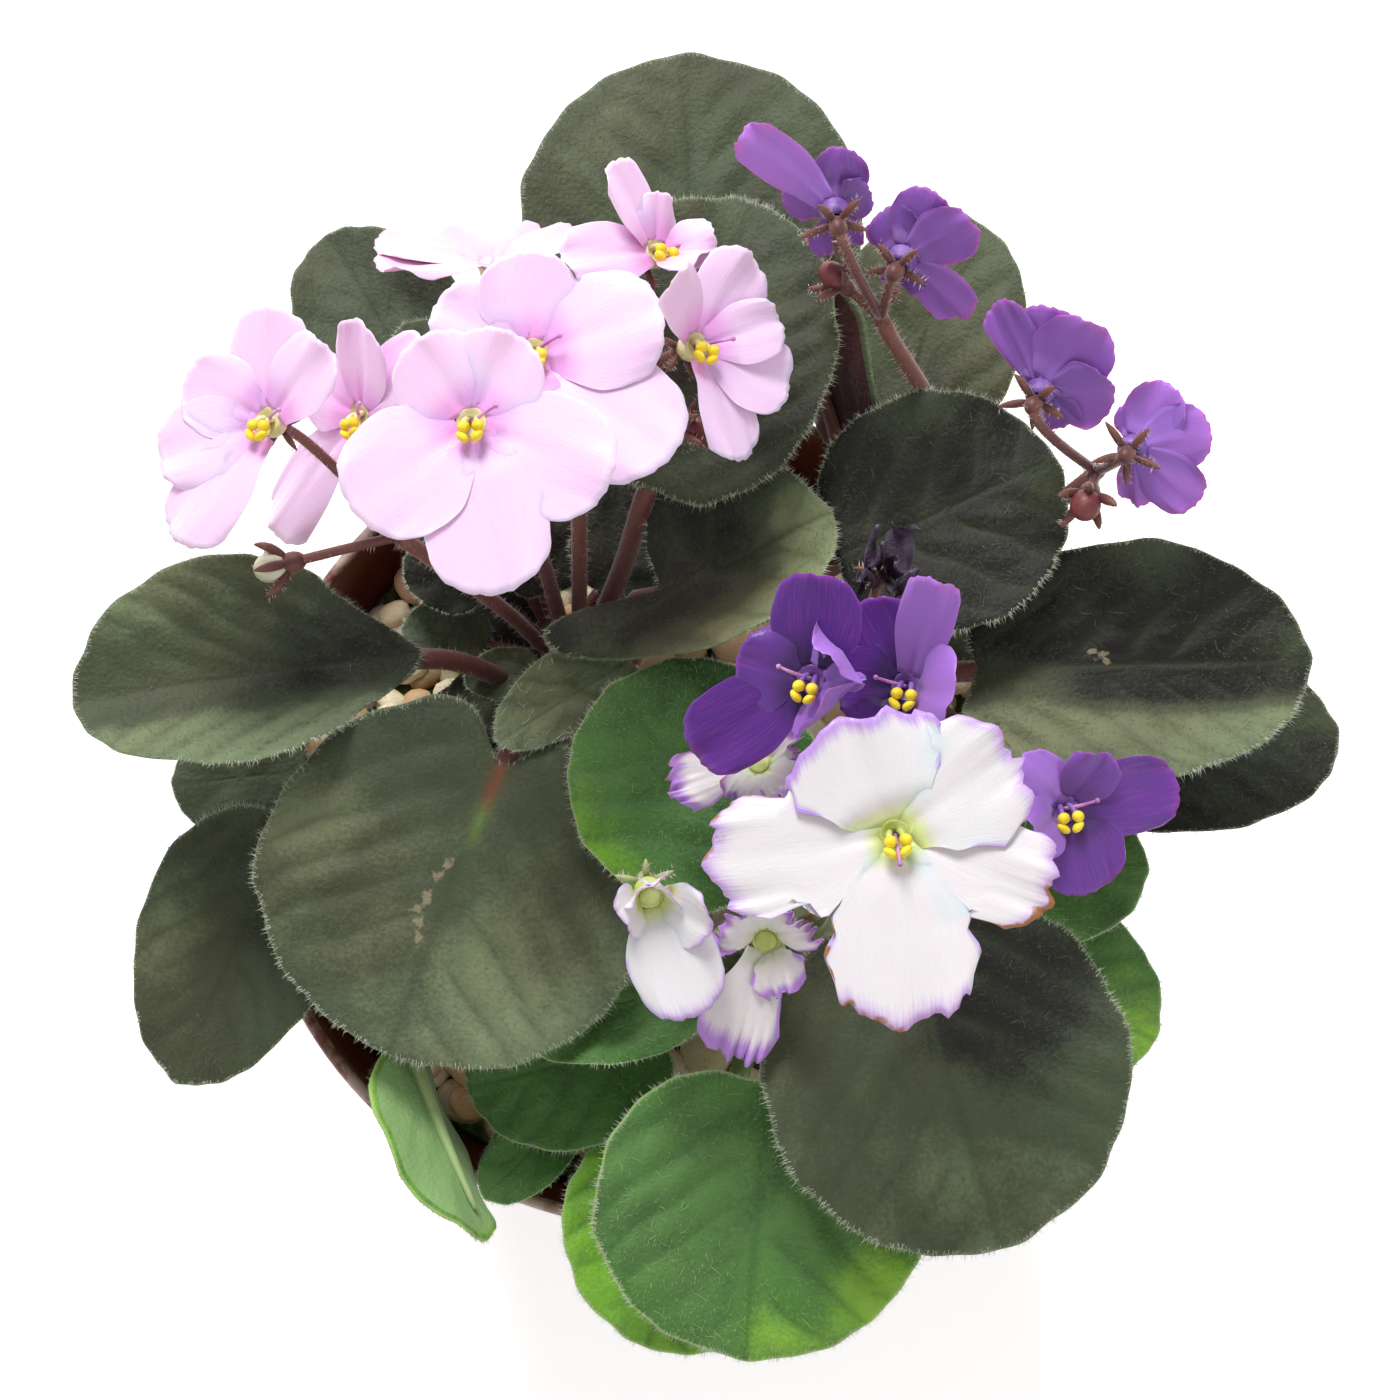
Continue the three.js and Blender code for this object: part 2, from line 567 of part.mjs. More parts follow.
// A star of five narrow sepals on the end of a pedicel
function calyx(at, face) {
  const frame = bloomFrame({ at: at.toArray(), face: face.toArray() });
  const upper = [new THREE.Vector3()];
  const lower = [new THREE.Vector3(0, 0, -CALYX_DEPTH)];
  for (let i = 0; i < 10; i++) {
    const a = Math.PI * i / 5 + 0.3;
    const radius = i % 2 ? SEPAL_ROOT : SEPAL_LENGTH;
    const p = new THREE.Vector3(radius * Math.cos(a), radius * Math.sin(a), -SEPAL_DROOP * radius);
    upper.push(p);
    lower.push(p.clone().add(new THREE.Vector3(0, 0, -SEPAL_THICK)));
  }
  const points = [...upper, ...lower].map((p) => p.applyMatrix4(frame));
  return solidOf(points, sheetFaces(10, 1));
}

function bend(from, towards, to, steps) {
  return new THREE.QuadraticBezierCurve3(from, towards, to).getPoints(steps);
}

function addSpray(spray) {
  const [cx, cy] = CROWNS[spray.crown];
  const top = vector(spray.top);
  const first = vector(spray.via[0]);
  const outward = first.clone().sub(new THREE.Vector3(cx, cy, first.z)).normalize();
  const root = new THREE.Vector3(cx, cy, CROWN_TOP - 4).addScaledVector(outward, STALK_SPREAD);
  const route = new THREE.CatmullRomCurve3([root, ...spray.via.map(vector), top]);
  const path = route.getPoints(5);
  let solid = stem(path, path.map(() => STALK_RADIUS), 5);
  for (const name of spray.blooms) {
    const bloom = BLOOMS.find((b) => b.name === name);
    const face = vector(bloom.face).normalize();
    const end = vector(bloom.at).addScaledVector(face, -TUBE_DEPTH - CLEAR);
    const towards = end.clone().addScaledVector(face, -end.distanceTo(top) * 0.3);
    const pedicel = bend(top.clone(), towards, end.clone().addScaledVector(face, -0.7), 3);
    solid = solid.add(stem(pedicel, pedicel.map(() => PEDICEL_RADIUS), 3));
    solid = solid.add(calyx(end, face));
  }
  for (const [x, y, z, radius] of spray.buds) {
    const bud = new THREE.Vector3(x, y, z);
    const along = bud.clone().sub(top).normalize();
    const tip = bud.clone().addScaledVector(along, radius * BUD_LENGTH);
    const middle = bud.clone().addScaledVector(along, radius);
    const budPath = [top.clone(), bud, middle, tip];
    solid = solid.add(stem(budPath, [PEDICEL_RADIUS, PEDICEL_RADIUS, radius, 0.3 * radius], 4));
    solid = solid.add(calyx(bud.addScaledVector(along, CLEAR), along));
  }
  solid = solid.subtract(grownCrowns[spray.crown]);
  const fresh = spray.crown === 'white';
  addNode(`spray_${spray.name}`, solid, fresh ? COLOURS.paleStalk : COLOURS.stalk, 0.7);
}

// Pot
function lathe(profile, sides) {
  const geometry = new THREE.LatheGeometry(profile.map(([r, z]) => new THREE.Vector2(r, z)), sides);
  geometry.rotateX(Math.PI / 2);
  return solidOfGeometry(geometry);
}

// Radius of the pot's outside below the rim band at height z
function outerRadius(z) {
  const bandRadius = RIM_RADIUS - RIM_STEP;
  return BASE_RADIUS + (bandRadius - BASE_RADIUS) * z / (POT_HEIGHT - RIM_BAND);
}

function innerRadius(z) {
  return z > POT_HEIGHT - RIM_BAND ? RIM_RADIUS - WALL - 0.5 : outerRadius(z) - WALL;
}

function addPot() {
  const bandFoot = POT_HEIGHT - RIM_BAND;
  const wallTop = RIM_RADIUS - WALL;
  let pot = lathe([
    [0, 0],
    [BASE_RADIUS - 1, 0],
    [outerRadius(2), 2],
    [outerRadius(bandFoot), bandFoot],
    [RIM_RADIUS - 1, bandFoot + 1],
    [RIM_RADIUS, POT_HEIGHT - 1.4],
    [RIM_RADIUS - 0.6, POT_HEIGHT],
    [wallTop, POT_HEIGHT - 0.3],
    [innerRadius(bandFoot - 1), bandFoot - 1],
    [innerRadius(FLOOR), FLOOR],
    [0, FLOOR],
  ], POT_SIDES);
  for (let i = 0; i < DRAIN_COUNT; i++) {
    const a = 2 * Math.PI * i / DRAIN_COUNT;
    const drill = new THREE.CylinderGeometry(DRAIN_RADIUS, DRAIN_RADIUS, 4 * FLOOR, 8);
    drill.rotateX(Math.PI / 2);
    drill.translate(DRAIN_RING * Math.cos(a), DRAIN_RING * Math.sin(a), 0);
    pot = pot.subtract(solidOfGeometry(drill));
  }
  addNode('pot', pot, COLOURS.pot, 0.45);
}

function addGrowingMedium() {
  let soil = lathe([
    [0, FLOOR + CLEAR],
    [innerRadius(FLOOR) - CLEAR - 0.2, FLOOR + CLEAR],
    [innerRadius(SOIL_TOP) - CLEAR - 0.2, SOIL_TOP],
    [0, SOIL_TOP],
  ], POT_SIDES);
  for (const colour of Object.keys(CROWNS)) {
    soil = soil.subtract(grownCrowns[colour]);
  }
  addNode('growing_medium', soil, COLOURS.soil, 0.95);
}

// The stones are a relief: a net of triangles with every third point raised as a stone
function addGravel() {
  const random = randomFrom(STONE_SEED);
  const edgeRadius = innerRadius(SOIL_TOP) - CLEAR - 0.4;
  const low = SOIL_TOP + CLEAR;
  const reach = Math.ceil(edgeRadius / STONE_PITCH) + 2;
  const rowStep = STONE_PITCH * Math.sqrt(3) / 2;
  const points = [];
  const faces = [];
  const at = new Map();
  for (let j = -reach; j <= reach; j++) {
    for (let i = -2 * reach; i <= 2 * reach; i++) {
      const x = STONE_PITCH * (i + j / 2);
      const y = rowStep * j;
      const stone = ((i - j) % 3 + 3) % 3 === 0;
      const shift = (stone ? 1.2 : 0.5) * (random() - 0.5);
      const highest = stone ? GRAVEL_TOP : GRAVEL_TOP - GAP_DEPTH + 1;
      const height = highest - (stone ? 1.5 : 1) * random();
      const p = new THREE.Vector3(x + shift, y + shift, height);
      if (Math.hypot(x, y) > edgeRadius + 0.45 * STONE_PITCH) continue;
      const distance = Math.hypot(p.x, p.y);
      if (distance > edgeRadius - 0.35 * STONE_PITCH) {
        p.x *= edgeRadius / distance;
        p.y *= edgeRadius / distance;
      }
      at.set(`${i},${j}`, points.length);
      points.push(p);
    }
  }
  const edges = new Map();
  const addFace = (a, b, c) => {
    if (a === undefined || b === undefined || c === undefined) return;
    faces.push([a, b, c]);
    for (const [from, to] of [[a, b], [b, c], [c, a]]) {
      if (!edges.delete(`${to},${from}`)) edges.set(`${from},${to}`, [from, to]);
    }
  };
  for (let j = -reach; j < reach; j++) {
    for (let i = -2 * reach; i < 2 * reach; i++) {
      const a = at.get(`${i},${j}`);
      const b = at.get(`${i + 1},${j}`);
      const c = at.get(`${i},${j + 1}`);
      const d = at.get(`${i + 1},${j + 1}`);
      addFace(a, b, c);
      addFace(b, d, c);
    }
  }
  const middle = points.length;
  points.push(new THREE.Vector3(0, 0, low));
  const under = new Map();
  const below = (index) => {
    if (!under.has(index)) {
      under.set(index, points.length);
      points.push(points[index].clone().setZ(low));
    }
    return under.get(index);
  };
  for (const [from, to] of [...edges.values()]) {
    faces.push([to, from, below(from)], [to, below(from), below(to)]);
    faces.push([below(to), below(from), middle]);
  }
  let gravel = solidOf(points, faces);
  for (const colour of Object.keys(CROWNS)) {
    gravel = gravel.subtract(grownCrowns[colour]);
  }
  addNode('gravel', gravel, COLOURS.gravel, 0.9);
}

addPot();
addGrowingMedium();
addGravel();
Object.keys(CROWNS).forEach(addCrown);
LEAVES.forEach(addLeaf);
SPRAYS.forEach(addSpray);
BLOOMS.forEach(addBloom);
BLOOMS.filter((bloom) => bloom.stamens).forEach(addStamens);

export default group;
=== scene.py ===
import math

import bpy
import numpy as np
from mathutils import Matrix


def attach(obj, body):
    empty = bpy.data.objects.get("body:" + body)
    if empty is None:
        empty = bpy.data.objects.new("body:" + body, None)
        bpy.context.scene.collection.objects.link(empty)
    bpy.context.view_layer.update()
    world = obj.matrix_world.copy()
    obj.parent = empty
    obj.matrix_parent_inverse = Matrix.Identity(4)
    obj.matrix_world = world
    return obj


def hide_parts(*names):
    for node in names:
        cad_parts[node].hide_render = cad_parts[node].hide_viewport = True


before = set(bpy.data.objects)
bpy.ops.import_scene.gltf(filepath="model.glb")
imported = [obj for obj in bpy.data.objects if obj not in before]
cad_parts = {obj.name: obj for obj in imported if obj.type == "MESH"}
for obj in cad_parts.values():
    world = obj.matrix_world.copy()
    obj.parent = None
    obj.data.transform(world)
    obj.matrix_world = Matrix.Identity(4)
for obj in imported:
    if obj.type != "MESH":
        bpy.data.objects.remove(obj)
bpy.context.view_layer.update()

# Three african violets in one pot: pink and purple flowers over dark leaves, and a white
# one with violet edges over fresh green leaves. Shapes are in millimetres until they are
# made into pieces, with the origin at the middle of the pot's base.

MM = 0.001
UP = np.array([0.0, 0.0, 1.0])
TURN = 2 * math.pi

# Pot and filling
POT_HEIGHT = 110.0
RIM_RADIUS = 70.0
RIM_BAND = 14.0
BASE_RADIUS = 50.0
BAND_RADIUS = 66.8
WALL = 2.0
FLOOR = 3.0
DRAIN_RADIUS = 4.0
DRAIN_RING = 28.0
FOOT_HOLLOW = 0.8
POT_SIDES = 144
BED_RADIUS = 64.0
BED_FOOT = 94.4
BED_TOP = 95.6
STONE_TOP = 100.3
STONE_SIZES = (3.0, 5.4)

# Plants
CROWN_RADIUS = 6.5
CROWN_FOOT = 90.0
CROWN_TOP = 112.0
PETIOLE_RINGS = 22
RIB_RINGS = 14
BLADE_SIDES = 128
BLADE_RINGS = 26
HALF_THICK = 0.5
MARGIN_WAVES = ((0.008, 9, 0), (0.006, 13, 1), (0.005, 22, 2))
RIPPLES = 6
VEIN_STEP = 8.0
SWELL = 0.75
GROOVE = 0.3
PUCKER = 0.26
LIP_ANGLE = 3.64
LIP_WIDTH = 0.46
LIP_SWEEP = 0.6
LIP_RISE = 0.2
NOTCH_WIDTH = 0.42
PETIOLE_RADIUS = 1.7
PETIOLE_FOOT = 0.3
PETIOLE_RISE = 0.35
LONGEST_NECK = 16.0
NECK_DROP = 2.0
RIB_RADIUS = 0.6
YOUNG_PETIOLE = 0.6
STALK_RADIUS = 1.3
STALK_SPREAD = 4.4
PEDICEL_RADIUS = 0.8
THROAT_RADIUS = 2.3
TUBE_DEPTH = 3.2
SEPALS = 5
SEPAL_LENGTH = 4.5
SEPAL_RADIUS = 0.56
PETAL_START = 1.7
PETAL_THICK = 0.32
PETAL_ROWS = 17
PETAL_COLUMNS = 35
LONGEST_PETAL = 40.0

# Hairs: how many stand on a millimetre of margin or a square millimetre of blade, how wide
# they are, and how many times its length and width together a blade's margin is long
FRINGE_DENSITY, FRINGE_WIDTH = 4.5, 0.09
DOWN_DENSITY, DOWN_WIDTH = 1.1, 0.06
CURLY_DENSITY, CURLY_WIDTH = 0.07, 0.055
STEM_HAIR_WIDTH = 0.12
GIRTH = 1.7

# The place of each material in its piece's list: a leaf's, a flower's, a stalk's (whose
# hairs have the same place as a leaf's) and the gravel's
BLADE, STEM, HAIR, DOWN = range(4)
PETAL, THROAT_WALL, ANTHER_LOBE, STYLE = range(4)
STALK_SKIN, SEPAL_SKIN, BUD_SKIN, RAG_SKIN = 0, 1, 3, 4
STONE, BED = 0, 1

CROWNS = {"pink": (-16, 24), "purple": (36, 24), "white": (16, -27)}

# Each leaf, close to where the part's source has it: where its blade begins and ends, its
# width, and the height at which its petiole leaves the crown. lobe, lean and notch shape the
# blade's base, egg its width towards the tip, and cup, fold, droop, wave and lip bend it.
# tone is how light it is, from 0 to 1: partly the leaf's own green and partly painted light
# and shade, lighter on a fold or rim that faces the light or shows a velvet sheen, and darker in
# a cup's hollow, on a fold's far side and in the shadows of flowers and leaves above. halves
# changes that across the blade, from one place to another, and each patch round a place on it:
# along it, across it, size and change. A scar is a pale line between two such places, and rib
# how far along its midrib shows. shag is how much longer and denser the hairs are. A leaf with
# a tinge is more olive.
LEAVES = [
    dict(name="pink_back", at=(5, 69, 127), tip=(3, 124.5, 132), width=57, level=102.5,
         tone=0.52, patches=[(0.3, -0.5, 0.5, -0.35), (0.7, 0.5, 0.5, 0.1)]),
    dict(name="pink_back_left", at=(-38, 61, 126), tip=(-57, 93, 130), width=28, cup=3,
         level=102.5, tone=0.5, patches=[(0.5, -0.6, 0.6, -0.3)]),
    dict(name="pink_high", at=(-3, 41, 153), tip=(14, 86, 160), width=42, level=104, neck=6,
         tone=0.27, tinge=True, patches=[(0.35, -0.5, 0.5, -0.15), (0.9, 0.2, 0.4, 0.1)]),
    dict(name="pink_curled", at=(1, 26, 144), tip=(24, 38.5, 153), width=31, lobe=0.3, lean=1,
         lip=19, cup=9, roll=-12, level=106, tone=0.08, tinge=True,
         halves=(-0.2, -0.65, 0.75),
         patches=[(0.85, -0.3, 0.6, 0.6), (0.9, 0.1, 0.5, 0.8), (-0.45, 0.1, 0.4, 0.2)]),
    dict(name="pink_left", at=(-39, 19, 132), tip=(-91, 10, 146), width=34, lobe=-0.3,
         egg=-0.12, fold=8, roll=8, level=107, via=(-28, 15, 112), tone=0.38,
         halves=(0.2, 0.5, 0.5), patches=[(0.2, -0.2, 0.5, -0.25), (0.8, -0.9, 0.7, 0.55)]),
    dict(name="pink_front", at=(-25.2, 1, 140), tip=(-43, -44, 137), width=61, lobe=0.325,
         lean=0.16, notch=0.17, cup=2, level=105, tone=0.58, rib=0.34,
         patches=[(-0.05, -0.6, 0.5, -0.3), (0.5, 0.0, 0.2, -0.2), (0.75, 0.5, 0.6, 0.4),
                  (0.4, -0.95, 0.35, 0.4), (0.4, -0.75, 0.3, 0.15)],
         scars=[((0.36, -0.05), (0.44, -0.1)), ((0.46, -0.08), (0.55, -0.13)),
                ((0.57, -0.1), (0.63, -0.06))]),
    dict(name="pink_low_left", at=(-61, -5, 120), tip=(-79, -47, 117), width=32, egg=0.18,
         level=103, tone=0.45, patches=[(0.2, 0.3, 0.4, -0.25), (0.5, -0.7, 0.5, 0.35)]),
    dict(name="purple_turned", at=(30.5, 49, 136), tip=(17, 89, 148), width=24, roll=110, cup=3,
         level=103.5, via=(34, 36, 117), tone=0.5),
    dict(name="purple_back", at=(38.5, 58, 126), tip=(48, 96, 132), width=32, level=102.5,
         tone=0.45, tinge=True, patches=[(0.2, 0.0, 0.4, -0.3)]),
    dict(name="purple_high", at=(26.5, 31.5, 145), tip=(60.5, 47, 151), width=39, level=106,
         tone=0.05, patches=[(0.95, -0.2, 0.3, 0.35), (0.6, 0.9, 0.3, 0.3)]),
    dict(name="purple_right", at=(48, 16, 138), tip=(100, 16, 145), width=37, lobe=0.2,
         lean=0.6, cup=7, roll=4, level=103, tone=-0.05, halves=(-0.22, -0.5, 0.9),
         patches=[(1.0, 0.2, 0.3, 0.4), (0.12, -0.25, 0.4, 0.7), (0.5, 1.0, 0.4, 0.5),
                  (1.0, -0.4, 0.3, 0.4)],
         scars=[((0.36, 0.12), (0.4, 0.04)), ((0.36, 0.06), (0.4, 0.1))]),
    dict(name="purple_low_right", at=(62, 6, 121), tip=(110, 9, 122), width=30, level=102.5,
         tone=0.12, patches=[(0.95, 0.3, 0.3, 0.4)]),
    dict(name="purple_front", at=(35, -25, 146), tip=(50, -73, 148), width=55, lobe=0.2,
         cup=2, level=102.5, tone=0.55, halves=(-0.2, 0.2, -0.15),
         patches=[(0.3, 0.4, 0.6, -0.6), (1.0, 0.3, 0.9, 0.35), (0.1, -0.4, 0.3, -0.2)]),
    dict(name="white_high", at=(16, -16.5, 144), tip=(-9, 12, 145.5), width=38, lobe=0.2,
         roll=-3, level=106, tone=0.32, halves=(0.4, 0.95, 0.25),
         patches=[(0.9, 0.6, 0.4, 0.25), (0.5, 1.0, 0.35, 0.3), (0.3, -0.4, 0.5, -0.3)]),
    dict(name="white_left", at=(6, -33, 130), tip=(-23, -39, 136), width=19, wave=1.6,
         level=105, tone=0.35),
    dict(name="white_low_left", at=(0, -40, 118), tip=(-32, -48, 118), width=28, level=104,
         droop=2, tone=0.45),
    dict(name="white_turned", at=(-42, -41, 121), tip=(-31, -73, 125), width=20, roll=118,
         cup=3, level=102.5, tone=0.7),
    dict(name="white_front", at=(16, -48, 136), tip=(12, -90, 132), width=50, lobe=0.2,
         level=106, tone=0.42,
         patches=[(0.75, 0.85, 0.4, 0.75), (0.95, 0.2, 0.35, 0.45), (0.3, 0.1, 0.35, -0.15)]),
    dict(name="white_low_front", at=(9, -54, 114), tip=(-3, -88, 119), width=40, level=102.5,
         droop=2, tone=0.85),
    dict(name="white_right", at=(47, -13, 117), tip=(78, -12, 119), width=26, level=106,
         droop=2, tone=0.45),
    dict(name="white_low_right", at=(48, -24, 112), tip=(79, -40, 114), width=30, level=102.5,
         droop=2, tone=0.5, patches=[(1.0, 0.0, 0.4, 0.4)]),
]

# Small leaves that are one with their crown. Their tones and halves hold painted light and
# shade, as the leaves' do.
YOUNG = {
    "pink": [
        dict(at=(-30, 26, 113), tip=(-44, 28, 117), width=12, level=106, tone=0.6),
        dict(at=(-10, 16, 115), tip=(-13, 2, 124), width=14, roll=45, level=110, tone=0.8),
        dict(at=(-28, 54, 136), tip=(-42, 71, 144), width=20, roll=30, level=105,
             via=(-25, 38, 112), tone=0.5),
        dict(at=(-59, 4, 116), tip=(-81, 1, 118), width=20, level=104, via=(-38, 27, 109),
             tone=0.5),
        dict(at=(-21, 20, 118), tip=(-33, 18, 122), width=9, level=109, tone=0.7),
        dict(at=(-6.5, 19.5, 127), tip=(-26, 3.5, 142), width=14, fold=3, level=109,
             tone=1.15, halves=(-0.1, 0.5, -0.4), shag=2.0),
        dict(at=(-22, 17, 110), tip=(-37, 16, 113), width=13, level=105, tone=0.3),
        dict(at=(-22, 12, 108), tip=(-35, 7, 110), width=12, level=104, tone=0.2),
        dict(at=(-17, 10, 113), tip=(-20, 1, 120), width=13, level=106, tone=0.5),
        dict(at=(-22, 28, 107), tip=(-31, 38, 109), width=14, level=104, tone=0.0),
        dict(at=(-31, 33, 119), tip=(-43, 38, 124), width=12, level=108, tone=0.1),
        dict(at=(-12, 34, 116), tip=(4, 50, 120), width=24, level=108, tone=0.12),
        dict(at=(-20, 34, 115), tip=(-24, 50, 118), width=16, level=108, tone=0.05),
    ],
    "purple": [
        dict(at=(44, 24, 114), tip=(55, 26, 120), width=12, level=109, tone=0.5),
    ],
    "white": [
        dict(at=(-5, -35, 125), tip=(-17, -40, 128), width=11, level=106, via=(7, -26, 117),
             tone=0.6),
        dict(at=(-16, -52, 112), tip=(-29, -65, 116), width=12, level=102, tone=0.35),
    ],
}

# Each flower's five lobes: direction in the flower's face, length, width and lift. pale is
# how much of its back's colour each lobe has, style the direction in which the pistil leans,
# and form and each change its petals, or one of them, from what FORMS says of its colour. A
# flower that is away turns its back to the camera.
BLOOMS = [
    dict(name="pink_front", colour="pink", at=(-27, 41, 186), face=(-0.05, -0.12, 1),
        stamens=True, lobes=[(63, 14, 14, 12), (123, 14, 14, 12), (219, 21, 18, 4),
        (279, 25, 17, 0), (336, 22, 17, 4)]),
    dict(name="pink_middle", colour="pink", at=(-19, 55, 176), face=(0, -0.05, 1),
        stamens=True, lobes=[(15, 20, 17, 10), (96, 15, 14, 12), (156, 16, 13, 6),
        (252, 9, 11, -4), (321, 26, 18, 2)]),
    dict(name="pink_right", colour="pink", at=(5, 56, 176), face=(0.7, -0.05, 0.8),
        stamens=True, lobes=[(21, 15, 9, 14), (60, 17, 12, 12), (138, 14, 9, 30),
        (297, 18, 10, 0), (348, 17, 13, 6)]),
    dict(name="pink_left", colour="pink", at=(-58, 45, 174), face=(-0.4, -0.1, 0.9),
        stamens=True, lobes=[(39, 16, 11, 14), (87, 17, 13, 10), (150, 15, 12, 8),
        (195, 18, 13, 6), (231, 22, 12, 4)]),
    dict(name="pink_nodding", colour="pink", at=(-46, 49, 164), face=(-0.6, -0.25, 0.7),
        lobes=[(28, 20, 12, 6), (66, 16, 11, 20), (150, 12, 11, 8),
        (219, 29, 10.5, -8), (312, 14, 10, 30)]),
    dict(name="pink_back", colour="pink", at=(-26, 73, 166), face=(0, 0.75, 0.6),
        away=True, pale=(0.9, 0.9, 0.9, 0.9, 0.9),
        lobes=[(15, 14, 13, 14), (57, 12, 12, 14), (138, 11, 13, 14),
        (180, 18, 14, 8), (213, 19, 14, 4)]),
    dict(name="pink_back_right", colour="pink", at=(-1, 73, 170), face=(0.6, 0.15, 0.7),
        lobes=[(12, 10, 8, 62), (105, 9, 8, 24), (141, 15, 9, 14),
        (203, 17, 10, -14), (315, 9, 9, 58)]),
    dict(name="purple_back_left", colour="purple", at=(25, 77, 177), face=(-0.1, 0.8, -0.45),
        away=True, pale=(0.1, 0.3, 0.95, 0, 0.1),
        lobes=[(84, 10, 8, 10), (195, 8, 8, 20), (225, 19, 7.5, 4),
        (279, 9, 9, 20), (345, 6, 8, 10)]),
    dict(name="purple_back_right", colour="purple", at=(36, 73, 168), face=(0.3, 0.65, -0.45),
        away=True, pale=(0.45, 0, 0, 0.1, 0.35),
        lobes=[(42, 14, 8, 6), (90, 7, 7, 10), (237, 8, 9, 25),
        (285, 11, 9, 20), (324, 12.5, 9, 6)]),
    dict(name="purple_far_right", colour="purple", at=(57, 54, 162), face=(0.3, 0.6, -0.45),
        away=True, pale=(0.2, 0.2, 0.3, 0.4, 0.4),
        lobes=[(50, 8, 7, 10), (231, 15, 7, 16), (262, 13, 10, 16),
        (300, 14, 12, 6), (357, 11, 11, 6)]),
    dict(name="purple_outer_right", colour="purple", at=(71.2, 46, 158.2), face=(0.3, 0.4, -0.6),
        away=True, pale=(0.6, 0.7, 0.5, 0.6, 0.7),
        lobes=[(39, 13, 9, 6), (84, 10, 6, 16), (262, 7, 6, 16),
        (296, 11, 9, 6), (342, 12, 10, 6)]),
    dict(name="purple_left", colour="purple", at=(21, 6, 176), face=(-0.35, -0.3, 0.9),
        stamens=True, pale=(0.75, 0, 0.1, 0, 0.8), style=160,
        each=[dict(fold=95, crease=4.5), {}, {}, {}, dict(fold=100, crease=4)],
        lobes=[(40, 11, 11, 6), (82, 16, 13, 14), (165, 11, 12, 6),
        (212, 21, 12, 0), (312, 10.5, 13, 0)]),
    dict(name="purple_middle", colour="purple", at=(35, 6, 171), face=(-0.2, -0.25, 0.9),
        pale=(0.75, 0, 0, 0, 0.75), style=165,
        lobes=[(71, 19, 8, 30), (118, 14, 13, 8), (180, 10, 12, 4),
        (255, 10, 13, 2), (350, 12, 14, 48)]),
    dict(name="purple_low", colour="purple", at=(59, -10, 160), face=(0.15, -0.3, 0.9),
        pale=(0.1, 0.3, 0.8, 0.55, 0.1), style=15,
        lobes=[(12, 17, 11, 8), (60, 11, 8, 30), (141, 11, 10, 8),
        (207, 11, 9, 45), (288, 13, 13, 2)]),
    dict(name="white_front", colour="white", at=(32, -18, 186), face=(0, -0.1, 1),
        stamens=True, style=268, form=dict(web=10.5),
        each=[dict(scorch=0.0, order=3), dict(scorch=0.0, order=5, crimp=0.6, tint=0.07),
              dict(scorch=0.8, order=1), dict(scorch=0.7, order=2), dict(scorch=1.2, order=0)],
        lobes=[(36, 20, 20, 5), (112, 17.3, 24, 5), (189, 26, 17, 2),
        (273, 26, 21, 0), (340, 23, 15, 4)]),
    dict(name="white_crumpled", colour="white", at=(14, -3, 160), face=(-0.3, 0.1, 1),
        away=True, form=dict(ragged=0.7, crimp=1.1, scorch=0.6),
        lobes=[(15, 8, 8, 30), (110, 6, 8, 40), (195, 14, 9, 10),
        (252, 8, 8, 20), (318, 11, 8, 30)]),
    dict(name="white_folded", colour="white", at=(-2, -23, 160), face=(0.15, -0.6, 0.6),
        away=True, form=dict(ragged=0.1, flare=0.0, crimp=0.1, scorch=0.0),
        lobes=[(45, 6, 9, 60), (125, 6, 9, 60), (201, 7, 10, 45),
        (288, 19, 13, 35), (342, 11, 10, 45)]),
    dict(name="white_low", colour="white", at=(15, -29, 156), face=(-0.2, -0.5, 0.8),
        away=True, form=dict(ragged=0.7, crimp=1.2, scorch=0.3),
        lobes=[(42, 12, 9, 40), (88, 11, 9, 40), (147, 8, 9, 30),
        (255, 19, 12, 10), (300, 9, 9, 30)]),
]

# Each stalk: the point it passes through, where it branches, and what it carries. A bud is
# its place and its size.
SPRAYS = [
    dict(name="pink_left", crown="pink", via=(-28, 29, 130), top=(-41, 34, 151),
         blooms=["pink_left", "pink_nodding"], buds=[(-58, 30, 150, 2.4)]),
    dict(name="pink_middle", crown="pink", via=(-20, 35, 134), top=(-24, 44, 160),
         blooms=["pink_front", "pink_middle", "pink_back"], buds=[]),
    dict(name="pink_right", crown="pink", via=(-14, 35, 134), top=(-13, 47, 162),
         blooms=["pink_right", "pink_back_right"], buds=[(3, 46, 168, 2)]),
    dict(name="purple_back", crown="purple", via=(46, 50, 134), top=(33, 66, 160),
         blooms=["purple_back_left", "purple_back_right"], buds=[(27, 70, 164, 2)]),
    dict(name="purple_right", crown="purple", via=(50, 34, 132), top=(67, 45, 149),
         blooms=["purple_far_right", "purple_outer_right"], buds=[(65, 40, 153, 2.4)]),
    dict(name="purple_middle", crown="purple", via=(33, 18, 136), top=(29, 15, 158),
         blooms=["purple_left", "purple_middle"], buds=[], withered=(32, 24, 166)),
    dict(name="purple_low", crown="purple", via=(43, 5, 124), top=(56, -9, 148),
         blooms=["purple_low"], buds=[]),
    dict(name="white_high", crown="white", via=(26, -24, 138), top=(26, -18, 160),
         blooms=["white_front", "white_crumpled"], buds=[]),
    dict(name="white_low", crown="white", via=(10, -24, 134), top=(6, -31, 150),
         blooms=["white_folded", "white_low"], buds=[]),
]


# Small sums
def vec(p):
    return np.array(p, float)


def unit(v):
    return v / np.linalg.norm(v, axis=-1, keepdims=True)


def smooth(low, high, x):
    share = np.clip((x - low) / (high - low), 0, 1)
    return share * share * (3 - 2 * share)


